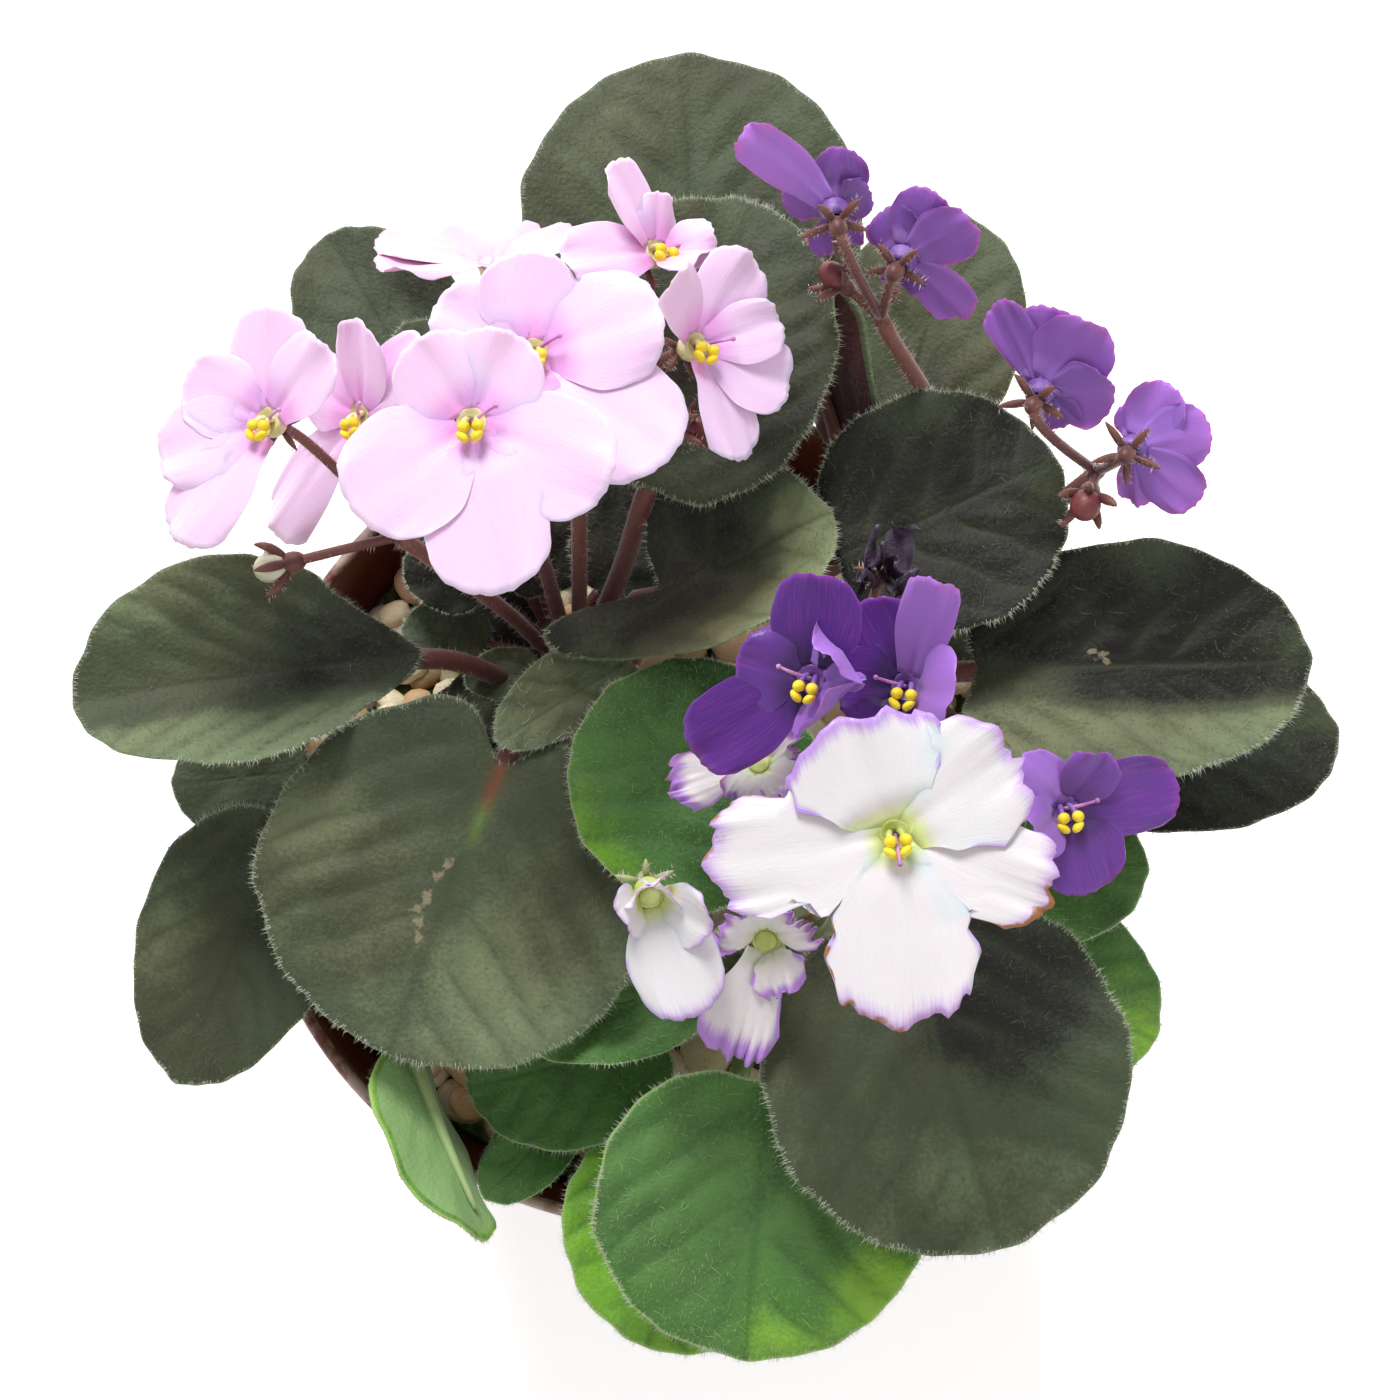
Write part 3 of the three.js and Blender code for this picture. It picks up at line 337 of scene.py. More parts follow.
def bump_at(x, centre, size):
    return np.exp(-((x - centre) / size) ** 2)


def turned(points, angle):
    """Points turned about Z."""
    c, s = math.cos(angle), math.sin(angle)
    return points @ np.array([[c, s, 0], [-s, c, 0], [0, 0, 1]])


def colour(r, g, b):
    """A colour as the photograph's 0 to 255 values give it, made linear."""
    def linear(c):
        c = c / 255
        return c / 12.92 if c <= 0.04045 else ((c + 0.055) / 1.055) ** 2.4
    return (linear(r), linear(g), linear(b), 1.0)


# Shapes. A shape is its points, its faces, the index of its material, and three marks for
# each point that its material reads.
def shape(points, faces, material=0, place=None, marks=None, wear=None):
    points = np.asarray(points, float).reshape(-1, 3)
    blank = np.zeros_like(points)
    return dict(points=points, faces=faces, material=material,
                place=blank if place is None else place,
                marks=blank if marks is None else marks,
                wear=blank if wear is None else wear)


def grid_faces(rows, columns, closed=False, flip=False):
    """Four-sided faces between the points of a grid. A closed one joins up in its rows."""
    faces = []
    for i in range(rows - 1):
        for j in range(columns if closed else columns - 1):
            k = (j + 1) % columns
            a, b = i * columns + j, i * columns + k
            c, d = (i + 1) * columns + k, (i + 1) * columns + j
            faces.append((a, d, c, b) if flip else (a, b, c, d))
    return faces


def tube(path, radii, sides=12, material=0):
    """A round stem along a path, closed at both ends."""
    path = np.asarray(path, float)
    along = unit(np.gradient(path, axis=0))
    across = np.cross(along[0], vec((1, 0, 0)) if abs(along[0][0]) < 0.8 else UP)
    rings = []
    turn = np.arange(sides) * TURN / sides
    for p, d, radius in zip(path, along, radii):
        across = unit(across - d * np.dot(across, d))
        up = np.cross(d, across)
        rings.append(p + radius * (np.outer(np.cos(turn), across) + np.outer(np.sin(turn), up)))
    count = len(path)
    points = np.vstack([*rings, path[:1], path[-1:]])
    faces = grid_faces(count, sides, closed=True)
    for i in range(sides):
        j = (i + 1) % sides
        faces.append((count * sides, j, i))
        faces.append((count * sides + 1, (count - 1) * sides + i, (count - 1) * sides + j))
    place = np.zeros_like(points)
    place[:count * sides, 0] = np.repeat(np.linspace(0, 1, count), sides)
    place[-1, 0] = 1
    return shape(points, faces, material, place)


def blob(centre, axes, rows=8, columns=12, material=0, marks=(0, 0, 0), bend=None):
    """A rounded body with three half axes. bend may move its points."""
    lat = np.linspace(0.06, math.pi - 0.06, rows)
    lon = np.arange(columns) * TURN / columns
    lat, lon = np.meshgrid(lat, lon, indexing="ij")
    ball = np.stack([np.sin(lat) * np.cos(lon), np.sin(lat) * np.sin(lon), np.cos(lat)], -1)
    ball = np.vstack([ball.reshape(-1, 3), [[0, 0, 1]], [[0, 0, -1]]])
    if bend is not None:
        ball = bend(ball)
    points = vec(centre) + ball @ np.asarray(axes, float)
    faces = grid_faces(rows, columns, closed=True, flip=True)
    for i in range(columns):
        j = (i + 1) % columns
        faces.append((rows * columns, i, j))
        faces.append((rows * columns + 1, (rows - 1) * columns + j, (rows - 1) * columns + i))
    return shape(points, faces, material, np.abs(ball), np.zeros_like(points) + vec(marks))


def hairs(roots, directions, widths_along, lengths, width, material):
    """Fine pointed hairs, each one narrow triangle."""
    half = unit(widths_along) * width / 2
    tips = roots + unit(directions) * lengths[:, None]
    points = np.stack([roots - half, roots + half, tips], 1).reshape(-1, 3)
    faces = [(3 * i, 3 * i + 1, 3 * i + 2) for i in range(len(roots))]
    return shape(points, faces, material)


def bent_hairs(roots, directions, bends, lengths, width, material):
    """Longer hairs that bend halfway, each one a narrow strip and a point."""
    first = unit(directions)
    half = unit(np.cross(first, UP)) * width / 2
    knees = roots + first * lengths[:, None] / 2
    tips = knees + unit(first + bends) * lengths[:, None] / 2
    points = np.stack([roots - half, roots + half, knees + half, knees - half, tips], 1)
    faces = []
    for i in range(0, 5 * len(roots), 5):
        faces += [(i, i + 1, i + 2, i + 3), (i + 3, i + 2, i + 4)]
    return shape(points.reshape(-1, 3), faces, material)


def tube_hairs(path, radius, count, length, rng):
    """Hairs that stand all round a stem."""
    path = np.asarray(path, float)
    where = rng.uniform(0, len(path) - 1.001, count)
    low = where.astype(int)
    share = (where - low)[:, None]
    centre = path[low] * (1 - share) + path[low + 1] * share
    along = unit(path[low + 1] - path[low])
    out = rng.normal(size=(count, 3))
    out = unit(out - along * np.sum(out * along, 1, keepdims=True))
    lengths = length * rng.uniform(0.6, 1.3, count)
    return hairs(centre + out * radius * 0.9, out + 0.3 * along, along, lengths,
                 STEM_HAIR_WIDTH, HAIR)


def bezier(points, steps):
    points = np.asarray(points, float)
    t = np.linspace(0, 1, steps)[:, None]
    order = len(points) - 1
    return sum(math.comb(order, k) * t ** k * (1 - t) ** (order - k) * p
               for k, p in enumerate(points))


def through(points, steps):
    """A smooth curve through points."""
    points = np.asarray(points, float)
    ends = [2 * points[0] - points[1], *points, 2 * points[-1] - points[-2]]
    curve = []
    for a, b, c, d in zip(ends, ends[1:], ends[2:], ends[3:]):
        for t in np.linspace(0, 1, steps, endpoint=False):
            curve.append(0.5 * (2 * b + (c - a) * t + (2 * a - 5 * b + 4 * c - d) * t ** 2
                                + (3 * b - a - 3 * c + d) * t ** 3))
    return np.array([*curve, points[-1]])


def make_piece(name, shapes, materials, node):
    """One piece of the scene, from its shapes, standing for a CAD node."""
    points, faces, indices = [], [], []
    base = 0
    for part in shapes:
        points.append(part["points"])
        faces += [tuple(base + k for k in face) for face in part["faces"]]
        indices += [part["material"]] * len(part["faces"])
        base += len(part["points"])
    mesh = bpy.data.meshes.new(name)
    mesh.from_pydata((np.vstack(points) * MM).tolist(), [], faces)
    mesh.polygons.foreach_set("material_index", indices)
    for label in ("place", "marks", "wear"):
        values = np.vstack([part[label] for part in shapes]).astype(np.float32)
        attribute = mesh.attributes.new(label, "FLOAT_VECTOR", "POINT")
        attribute.data.foreach_set("vector", values.ravel())
    mesh.polygons.foreach_set("use_smooth", [True] * len(faces))
    for material in materials:
        mesh.materials.append(material)
    piece = bpy.data.objects.new(name, mesh)
    bpy.context.scene.collection.objects.link(piece)
    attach(piece, "root")
    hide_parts(node)


# Material nodes
def add_node(tree, kind, inputs=None, **settings):
    """A node with its settings, and for each input a value or the socket that feeds it."""
    node = tree.nodes.new(kind)
    for key, value in settings.items():
        setattr(node, key, value)
    for key, value in (inputs or {}).items():
        socket = node.inputs[key]
        if isinstance(value, bpy.types.NodeSocket):
            tree.links.new(value, socket)
        else:
            socket.default_value = value
    return node


def math_node(tree, operation, a, b=0.0, c=0.0):
    node = add_node(tree, "ShaderNodeMath", {0: a, 1: b, 2: c}, operation=operation)
    return node.outputs[0]


def mix_colours(tree, factor, a, b, blend="MIX"):
    node = add_node(tree, "ShaderNodeMix", {0: factor, 6: a, 7: b}, data_type="RGBA",
                    blend_type=blend)
    return node.outputs[2]


def stretch(tree, value, low, high, to_low=0.0, to_high=1.0):
    node = add_node(tree, "ShaderNodeMapRange", {0: value, 1: low, 2: high, 3: to_low, 4: to_high},
                    interpolation_type="SMOOTHSTEP")
    return node.outputs[0]


def vary(tree, value, by, amount, down=None):
    """A value that a noise raises and lowers, as a rule by half the amount."""
    low = math_node(tree, "SUBTRACT", value, amount / 2 if down is None else down)
    return math_node(tree, "MULTIPLY_ADD", by, amount, low)


def noise(tree, scale, detail=2.0, vector=None):
    if vector is None:
        vector = add_node(tree, "ShaderNodeTexCoord").outputs["Object"]
    node = add_node(tree, "ShaderNodeTexNoise",
                    {"Vector": vector, "Scale": scale, "Detail": detail})
    return node.outputs[0]


def read_marks(tree, label):
    """The three values that a piece keeps for each point under that name."""
    read = add_node(tree, "ShaderNodeAttribute", attribute_name=label)
    split = add_node(tree, "ShaderNodeSeparateXYZ", {0: read.outputs["Vector"]})
    return split.outputs


def new_group(name, colours, numbers=()):
    """A node group that makes a colour, a roughness and a height from named colours and
    numbers. Returns it with its input and output nodes' sockets."""
    tree = bpy.data.node_groups.new(name, "ShaderNodeTree")
    sockets = [("INPUT", label, "Color") for label in colours]
    sockets += [("INPUT", label, "Float") for label in numbers]
    sockets += [("OUTPUT", "Color", "Color"), ("OUTPUT", "Roughness", "Float"),
                ("OUTPUT", "Height", "Float")]
    for way, label, kind in sockets:
        tree.interface.new_socket(name=label, in_out=way, socket_type="NodeSocket" + kind)
    start = tree.nodes.new("NodeGroupInput")
    end = tree.nodes.new("NodeGroupOutput")
    return tree, start.outputs, end.inputs


def use_group(tree, group, inputs):
    return add_node(tree, "ShaderNodeGroup", inputs, node_tree=group).outputs


def new_material(name, **fixed):
    """A material whose shader has these fixed values. Returns it, its tree and its shader."""
    material = bpy.data.materials.new(name)
    material.use_nodes = True
    tree = material.node_tree
    shader = tree.nodes["Principled BSDF"]
    for key, value in fixed.items():
        shader.inputs[key.replace("_", " ")].default_value = value
    return material, tree, shader


def dress(tree, shader, paint, rough, height, strength, distance):
    """Joins a colour, a roughness and a height to the shader."""
    tree.links.new(paint, shader.inputs["Base Color"])
    tree.links.new(rough, shader.inputs["Roughness"])
    bump = add_node(tree, "ShaderNodeBump",
                    {"Height": height, "Strength": strength, "Distance": distance})
    tree.links.new(bump.outputs[0], shader.inputs["Normal"])


def leaf_group():
    """Colour of a hairy blade: its veins, with painted shade in broad valleys beside them, its
    light and dark parts, which hold painted light and shade, its rim with a painted glow, and
    its underside.
    """
    tree, given, out = new_group(
        "leaf_colours", ["Dark", "Middle", "Light", "Rim", "Vein", "Underside", "Scar",
                         "Red rib", "Green rib", "Bronze"])
    rim = read_marks(tree, "place")[2]
    vein_and_valley_shade, tone, under = read_marks(tree, "marks")
    scar, rib, far = read_marks(tree, "wear")
    blotch = noise(tree, 120.0, 3.0)
    grain = noise(tree, 1500.0, 2.0)
    # tone holds painted light and shade as well as the leaf's own lighter and darker parts
    shade = vary(tree, vary(tree, tone, blotch, 0.6), grain, 0.36)
    low = mix_colours(tree, stretch(tree, shade, 0.0, 0.5), given["Dark"], given["Middle"])
    top = mix_colours(tree, stretch(tree, shade, 0.5, 1.0), low, given["Light"])
    patch = stretch(tree, noise(tree, 38.0, 2.0), 0.4, 0.62)
    top = mix_colours(tree, patch, top, given["Bronze"], "MULTIPLY")
    # Darker along the veins in their own colour, and in the broad valleys beside them, a painted
    # shade
    veined_and_shaded = mix_colours(tree, math_node(tree, "MULTIPLY", vein_and_valley_shade, 0.55), top, given["Vein"])
    # The margin's own paler green, with a painted glow of light through it and on its hairs
    edge = math_node(tree, "MULTIPLY", stretch(tree, rim, 0.975, 1.0), 0.5)
    rim_glowed = mix_colours(tree, edge, veined_and_shaded, given["Rim"])
    both = mix_colours(tree, stretch(tree, under, 0.35, 0.65), rim_glowed, given["Underside"])
    ribbed = mix_colours(tree, stretch(tree, far, 0.3, 0.6), given["Red rib"], given["Green rib"])
    both = mix_colours(tree, math_node(tree, "MULTIPLY", rib, 0.85), both, ribbed)
    crumbs = vary(tree, scar, noise(tree, 900.0, 3.0), 2.2, 1.5)
    crumbs = math_node(tree, "MULTIPLY", stretch(tree, crumbs, 0.0, 0.5, 0.0, 0.7),
                       stretch(tree, scar, 0.1, 0.4))
    tree.links.new(mix_colours(tree, crumbs, both, given["Scar"]), out["Color"])
    tree.links.new(math_node(tree, "MULTIPLY_ADD", grain, 0.25, 0.5), out["Roughness"])
    tree.links.new(math_node(tree, "ADD", grain, noise(tree, 520.0, 2.0)), out["Height"])
    return tree


RIB_COLOURS = dict(Red_rib=(128, 70, 44), Green_rib=(104, 130, 62), Bronze=(255, 236, 232))


def leaf_material(name, group, **colours):
    material, tree, shader = new_material(name, Sheen_Weight=0.15, Sheen_Roughness=0.4,
                                          Specular_IOR_Level=0.3)
    inputs = {key.replace("_", " "): colour(*value)
              for key, value in {**RIB_COLOURS, **colours}.items()}
    dress(tree, shader, *use_group(tree, group, inputs), 0.5, 0.0004)
    return material


def stem_material(name, low, high):
    """A fleshy stem, redder or greener along its length."""
    material, tree, shader = new_material(name, Sheen_Weight=0.35, Sheen_Roughness=0.4)
    along = read_marks(tree, "place")[0]
    mottle = noise(tree, 420.0, 3.0)
    share = vary(tree, along, mottle, 0.8)
    paint = mix_colours(tree, stretch(tree, share, 0.0, 1.0), colour(*low), colour(*high))
    rough = math_node(tree, "MULTIPLY_ADD", mottle, 0.3, 0.35)
    dress(tree, shader, paint, rough, mottle, 0.3, 0.0004)
    return material


def hair_material(name, low, high):
    material, tree, shader = new_material(name, Roughness=0.5, Specular_IOR_Level=0.4)
    paint = mix_colours(tree, noise(tree, 300.0, 1.0), colour(*low), colour(*high))
    tree.links.new(paint, shader.inputs["Base Color"])
    return material


def petal_group():
    """Colour of a petal: its eye, its body, its margin and the streaks that run out along it."""
    tree, given, out = new_group(
        "petal_colours", ["Eye", "Body", "Margin", "Streak", "Back"],
        ["Margin width", "Streaks", "Eye size"])
    along, across, lobe = read_marks(tree, "place")
    edge, scorch, pale = read_marks(tree, "marks")
    spread = add_node(tree, "ShaderNodeCombineXYZ",
                      {0: math_node(tree, "MULTIPLY", along, 1.2),
                       1: math_node(tree, "MULTIPLY", across, 9.0), 2: lobe})
    lines = noise(tree, 3.0, 4.0, spread.outputs[0])
    cloud = noise(tree, 160.0, 2.0)
    streak = math_node(tree, "MULTIPLY", stretch(tree, lines, 0.45, 0.75), given["Streaks"])
    body = mix_colours(tree, streak, given["Body"], given["Streak"])
    near = stretch(tree, math_node(tree, "MULTIPLY_ADD", cloud, 0.15, along), 0.1,
                   given["Eye size"], 1.0, 0.0)
    eyed = mix_colours(tree, near, body, given["Eye"])
    wide = math_node(tree, "SUBTRACT", 1.0, given["Margin width"])
    outer = math_node(tree, "SUBTRACT", vary(tree, edge, lines, 0.16), wide)
    rim = stretch(tree, outer, -0.08, 0.12)
    edged = mix_colours(tree, rim, eyed, given["Margin"])
    backed = mix_colours(tree, pale, edged, given["Back"])
    patchy = vary(tree, scorch, noise(tree, 500.0, 3.0), 1.6, 1.1)
    burnt = mix_colours(tree, stretch(tree, patchy, 0.2, 0.6), backed, colour(146, 108, 66))
    tree.links.new(burnt, out["Color"])
    glint = noise(tree, 2600.0, 0.0)
    tree.links.new(stretch(tree, glint, 0.3, 0.7, 0.3, 0.6), out["Roughness"])
    tree.links.new(math_node(tree, "MULTIPLY_ADD", glint, 0.35, lines), out["Height"])
    return tree


def petal_material(name, group, margin_width, streaks, eye_size, **colours):
    material, tree, shader = new_material(name, Subsurface_Weight=0.25, Subsurface_Scale=0.001,
                                          Sheen_Weight=0.15, Specular_IOR_Level=0.35)
    inputs = {key: colour(*value) for key, value in colours.items()}
    inputs.update({"Margin width": margin_width, "Streaks": streaks, "Eye size": eye_size})
    dress(tree, shader, *use_group(tree, group, inputs), 0.15, 0.0003)
    return material


def plain_material(name, low, high, scale, rough=(0.4, 0.6), bump=0.3, depth=0.0003):
    """Two close colours in clouds, with a fine grain."""
    material, tree, shader = new_material(name)
    cloud = noise(tree, scale, 4.0)
    grain = noise(tree, scale * 7, 2.0)
    paint = mix_colours(tree, stretch(tree, cloud, 0.3, 0.7), colour(*low), colour(*high))
    dress(tree, shader, paint, stretch(tree, grain, 0.3, 0.7, *rough),
          math_node(tree, "ADD", cloud, grain), bump, depth)
    return material


def stone_material():
    """Cream and tan stones: each has its own tone, with specks, and dark green in clouds,
    most on the stones of the lower layer.
    """
    material, tree, shader = new_material("washed_gravel", Specular_IOR_Level=0.3)
    tone, _, green_darkening = read_marks(tree, "marks")
    cloud = noise(tree, 260.0, 4.0)
    speck = noise(tree, 1700.0, 2.0)
    share = vary(tree, tone, cloud, 0.5)
    paint = mix_colours(tree, stretch(tree, share, 0.0, 1.0), colour(196, 152, 108),
                        colour(243, 231, 196))
    dotted = mix_colours(tree, stretch(tree, speck, 0.6, 0.75, 0.0, 0.45), paint,
                         colour(150, 110, 72))
    darkened = mix_colours(tree, stretch(tree, math_node(tree, "ADD", green_darkening, cloud), 0.8, 1.6, 0, 0.7),
                       dotted, colour(80, 82, 45))
    dress(tree, shader, darkened, stretch(tree, speck, 0.3, 0.7, 0.5, 0.8),
          math_node(tree, "ADD", cloud, speck), 0.4, 0.0004)
    return material


def pot_material():
    """Reddish-brown moulded plastic, paler along the rim's edge: scuffs with a painted highlight.
    """
    material, tree, shader = new_material("brown_plastic", Specular_IOR_Level=0.45)
    edge = read_marks(tree, "marks")[0]
    cloud = noise(tree, 45.0, 4.0)
    grain = noise(tree, 1400.0, 2.0)
    paint = mix_colours(tree, stretch(tree, cloud, 0.3, 0.7), colour(102, 50, 36),
                        colour(112, 56, 41))
    # Paler on the marked edges: scuffs with a painted highlight
    scuff_and_highlight = math_node(tree, "MULTIPLY", edge, stretch(tree, noise(tree, 240.0, 4.0), 0.35, 0.6))
    worn_and_lit = mix_colours(tree, math_node(tree, "MULTIPLY", scuff_and_highlight, 0.55), paint,
                       colour(214, 190, 178))
    dress(tree, shader, worn_and_lit, stretch(tree, grain, 0.2, 0.8, 0.32, 0.5), grain, 0.25, 0.0003)
    return material


blade_colours = leaf_group()
petal_colours = petal_group()
# Dark and Light are the ends of the painted shade and light; the rim colour holds a painted glow
DARK_LEAF = leaf_material(
    "dark_leaf", blade_colours, Dark=(22, 21, 16), Middle=(70, 80, 57), Light=(114, 128, 94),
    Rim=(112, 132, 88), Vein=(56, 66, 46), Underside=(58, 22, 22), Scar=(150, 138, 112))
TINGED_LEAF = leaf_material(
    "olive_leaf", blade_colours, Dark=(38, 39, 31), Middle=(82, 90, 66), Light=(124, 134, 96),
    Rim=(120, 140, 88), Vein=(62, 74, 46), Underside=(58, 22, 22), Scar=(150, 138, 112))
FRESH_LEAF = leaf_material(
    "fresh_leaf", blade_colours, Dark=(38, 66, 34), Middle=(84, 124, 62), Light=(134, 180, 56),
    Rim=(190, 215, 130), Vein=(54, 88, 42), Underside=(126, 160, 100), Scar=(170, 140, 70),
    Bronze=(232, 250, 225))
RED_STEM = stem_material("red_petiole", (88, 38, 36), (108, 62, 48))
GREEN_STEM = stem_material("green_petiole", (120, 140, 84), (150, 172, 112))
STALK = stem_material("hairy_stalk", (98, 50, 46), (126, 78, 66))
PALE_STALK = stem_material("pale_stalk", (140, 150, 100), (170, 176, 130))
SEPAL = stem_material("hairy_sepal", (88, 44, 44), (124, 78, 62))
PALE_SEPAL = stem_material("pale_sepal", (136, 146, 96), (176, 180, 130))
FRINGE_HAIR = hair_material("fringe_hair", (150, 156, 136), (206, 208, 192))
DARK_DOWN = hair_material("dark_leaf_down", (66, 74, 58), (112, 120, 100))
FRESH_DOWN = hair_material("fresh_leaf_down", (96, 132, 74), (178, 200, 140))
PINK_HAIR = hair_material("rosy_hair", (206, 176, 170), (236, 214, 206))
PINK_PETAL = petal_material(
    "pink_petal", petal_colours, 0.03, 0.3, 0.4, Eye=(233, 164, 228), Body=(243, 207, 240),
    Margin=(248, 226, 246), Streak=(238, 192, 235), Back=(228, 190, 220))
PURPLE_PETAL = petal_material(
    "purple_petal", petal_colours, 0.03, 0.7, 0.4, Eye=(44, 12, 76), Body=(82, 32, 130),
    Margin=(112, 56, 166), Streak=(122, 44, 142), Back=(176, 124, 220))
WHITE_PETAL = petal_material(
    "white_petal", petal_colours, 0.07, 0.2, 0.26, Eye=(206, 212, 138), Body=(224, 220, 222),
    Margin=(184, 142, 218), Streak=(206, 196, 214), Back=(222, 208, 224))
FRINGED_PETAL = petal_material(
    "violet_edged_petal", petal_colours, 0.2, 0.3, 0.3, Eye=(214, 216, 196), Body=(222, 214, 214),
    Margin=(176, 128, 206), Streak=(208, 194, 210), Back=(206, 182, 206))
THROAT = {
    "pink": plain_material("pink_throat", (206, 196, 126), (236, 230, 186), 300.0),
    "purple": plain_material("purple_throat", (104, 66, 146), (150, 112, 184), 300.0),
    "white": plain_material("white_throat", (170, 182, 84), (214, 220, 150), 300.0),
}
ANTHER = plain_material("anther", (236, 200, 20), (252, 232, 60), 500.0, (0.35, 0.55), 0.4)
PISTIL = plain_material("pistil", (176, 96, 170), (214, 160, 210), 300.0)
WITHERED = plain_material("withered_petal", (30, 20, 32), (78, 62, 86), 300.0, (0.4, 0.7), 0.6)
BUD = plain_material("bud", (198, 202, 160), (226, 222, 196), 240.0)
MAROON_BUD = plain_material("maroon_bud", (98, 40, 46), (142, 74, 72), 240.0)
MOSS = plain_material("moss", (44, 58, 22), (96, 112, 48), 500.0, (0.8, 0.95), 0.8, 0.001)
SOIL = plain_material("potting_soil", (34, 25, 18), (72, 54, 38), 420.0, (0.8, 0.95), 1.0, 0.002)
STONES = stone_material()
PLASTIC = pot_material()
PETALS = {"pink": PINK_PETAL, "purple": PURPLE_PETAL, "white": WHITE_PETAL}


# Leaves
def blade_frame(at, tip, roll):
    """Rows are the blade's own X, Y and Z."""
    x = unit(tip - at)
    flat_z = unit(UP - x * x[2])
    flat_y = np.cross(flat_z, x)
    angle = math.radians(roll)
    y = flat_y * math.cos(angle) + flat_z * math.sin(angle)
    return np.array([x, y, np.cross(x, y)])


def blade_middle(leaf, r, a):
    """The blade's middle surface at radius r and angle a, in its own frame."""
    width, length = leaf["width"], leaf["length"]
    edge = 1 + sum(high * np.cos(times * a + phase * width)
                   for high, times, phase in MARGIN_WAVES)
    basal = leaf.get("lobe", 0.12) * (1 - leaf.get("lean", 0) * np.sin(a))
    notch = basal * bump_at(a, math.pi, leaf.get("notch", NOTCH_WIDTH))
    back = np.where(np.cos(a) < 0, basal * np.cos(a) + notch, 0)
    tongue = leaf.get("lip", 0) * r ** 2 * np.exp(-np.abs((a % TURN - LIP_ANGLE) / LIP_WIDTH) ** 3)
    x = length / 2 * (1 + r * edge * (np.cos(a) + back)) - tongue
    y = width / 2 * r * edge * np.sin(a) * (1 - leaf.get("egg", 0.05) * np.cos(a))
    y = y + LIP_SWEEP * tongue
    side = 2 * y / width
    z = (leaf.get("cup", 2.5) * side ** 2 + leaf.get("fold", 0) * np.sqrt(side ** 2 + 0.02)
         - leaf.get("droop", 4) * (x / length) ** 2 + LIP_RISE * tongue
         + leaf.get("wave", 0.7) * r ** 3 * np.sin(RIPPLES * a + width))
    return x, y, z


def quilting(along, side, length):
    """How deep the veins lie, and how far the blade swells between them, from 0 to 1. The
    veins also darken the colour, with painted shade in the broad valleys beside them.
    """
    reach = np.abs(side)
    rows = length / VEIN_STEP
    sway = 0.1 * np.sin(7 * along + 3 * side + length) + 0.06 * np.sin(11 * side - 5 * along)
    row = rows * (along - 0.36 * reach - 0.12 * reach ** 2) + 0.25 * np.sign(side) + sway
    lateral = bump_at(row, np.round(row), 0.1) * smooth(0.02, 0.2, reach)
    midrib = bump_at(side, 0, 0.03)
    cell = 3.4 * reach + 0.5 * np.floor(row) + 2 * sway
    veins = np.maximum(midrib, np.maximum(lateral, 0.3 * bump_at(cell, np.round(cell), 0.1)))
    swell = np.sin(math.pi * row) ** 2 * (0.55 + 0.45 * np.sin(math.pi * cell) ** 2)
    strength = 0.65 + 0.35 * np.sin(4 * along + 5 * side + 2 * length)
    # Broad valleys beside the lateral veins, sunk a little and painted in shade
    shaded_valley = 0.4 * bump_at(row, np.round(row), 0.24) * smooth(0.05, 0.3, reach)
    veins = np.maximum(veins, shaded_valley) * (0.5 + 0.5 * strength)
    return veins, swell * strength * smooth(0.0, 0.25, reach)


def blade_points(leaf, r, a, upper):
    """Points of the blade's upper or lower face, with where they lie on it."""
    x, y, z = blade_middle(leaf, r, a)
    along, side = x / leaf["length"], 2 * y / leaf["width"]
    veins, swell = quilting(along, side, leaf["length"])
    inner = 1 - smooth(0.86, 1.0, r)
    size = min(1.0, leaf["width"] / 36)
    pucker = (np.sin(9 * along + 4 * side + leaf["width"])
              + np.sin(5 * along - 7 * side + 2 * leaf["width"])) * smooth(0.1, 0.4, r)
    relief = (SWELL * swell - GROOVE * veins) * inner * size + PUCKER * pucker * size
    half = HALF_THICK * np.sqrt(1 - np.clip((r - 0.94) / 0.06, 0, 1) ** 2)
    midrib = bump_at(side, 0, 0.06) * (1 - along) * inner
    height = z + half + relief if upper else z - half + 0.6 * relief - 0.5 * midrib * size
    local = np.stack([x, y, height], -1)
    return leaf["at"] + local @ leaf["frame"], along, side, veins


def leaf_tone_and_shading(leaf, along, side):
    """How light each place on the blade is: its own tone, with the painted light and shade of
    its halves and patches.
    """
    tone = np.full_like(along, leaf.get("tone", 0.5))
    if "halves" in leaf:
        start, end, change = leaf["halves"]
        tone += change * smooth(start, end, side)
    for t, s, size, change in leaf.get("patches", []):
        tone += change * np.exp(-((along - t) ** 2 + (0.6 * (side - s)) ** 2) / (size / 2) ** 2)
    return tone


def scar_mark(leaf, along, side):
    """How near each place is to one of the blade's scars."""
    mark = np.zeros_like(along)
    for (t0, s0), (t1, s1) in leaf.get("scars", []):
        share = np.clip(((along - t0) * (t1 - t0) + (side - s0) * (s1 - s0))
                        / ((t1 - t0) ** 2 + (s1 - s0) ** 2), 0, 1)
        off = np.hypot(along - t0 - share * (t1 - t0), 0.5 * (side - s0 - share * (s1 - s0)))
        mark = np.maximum(mark, np.exp(-(off / 0.015) ** 2))
    return mark


def blade_wear(leaf, along, side):
    """Where the blade has scars, and where its midrib shows through, red then green."""
    reach = leaf.get("rib", 0.001)
    rib = bump_at(side, 0, 0.035) * (1 - smooth(0.6 * reach, reach, along)) * (reach > 0.01)
    return np.stack([scar_mark(leaf, along, side), rib, along / reach], -1)


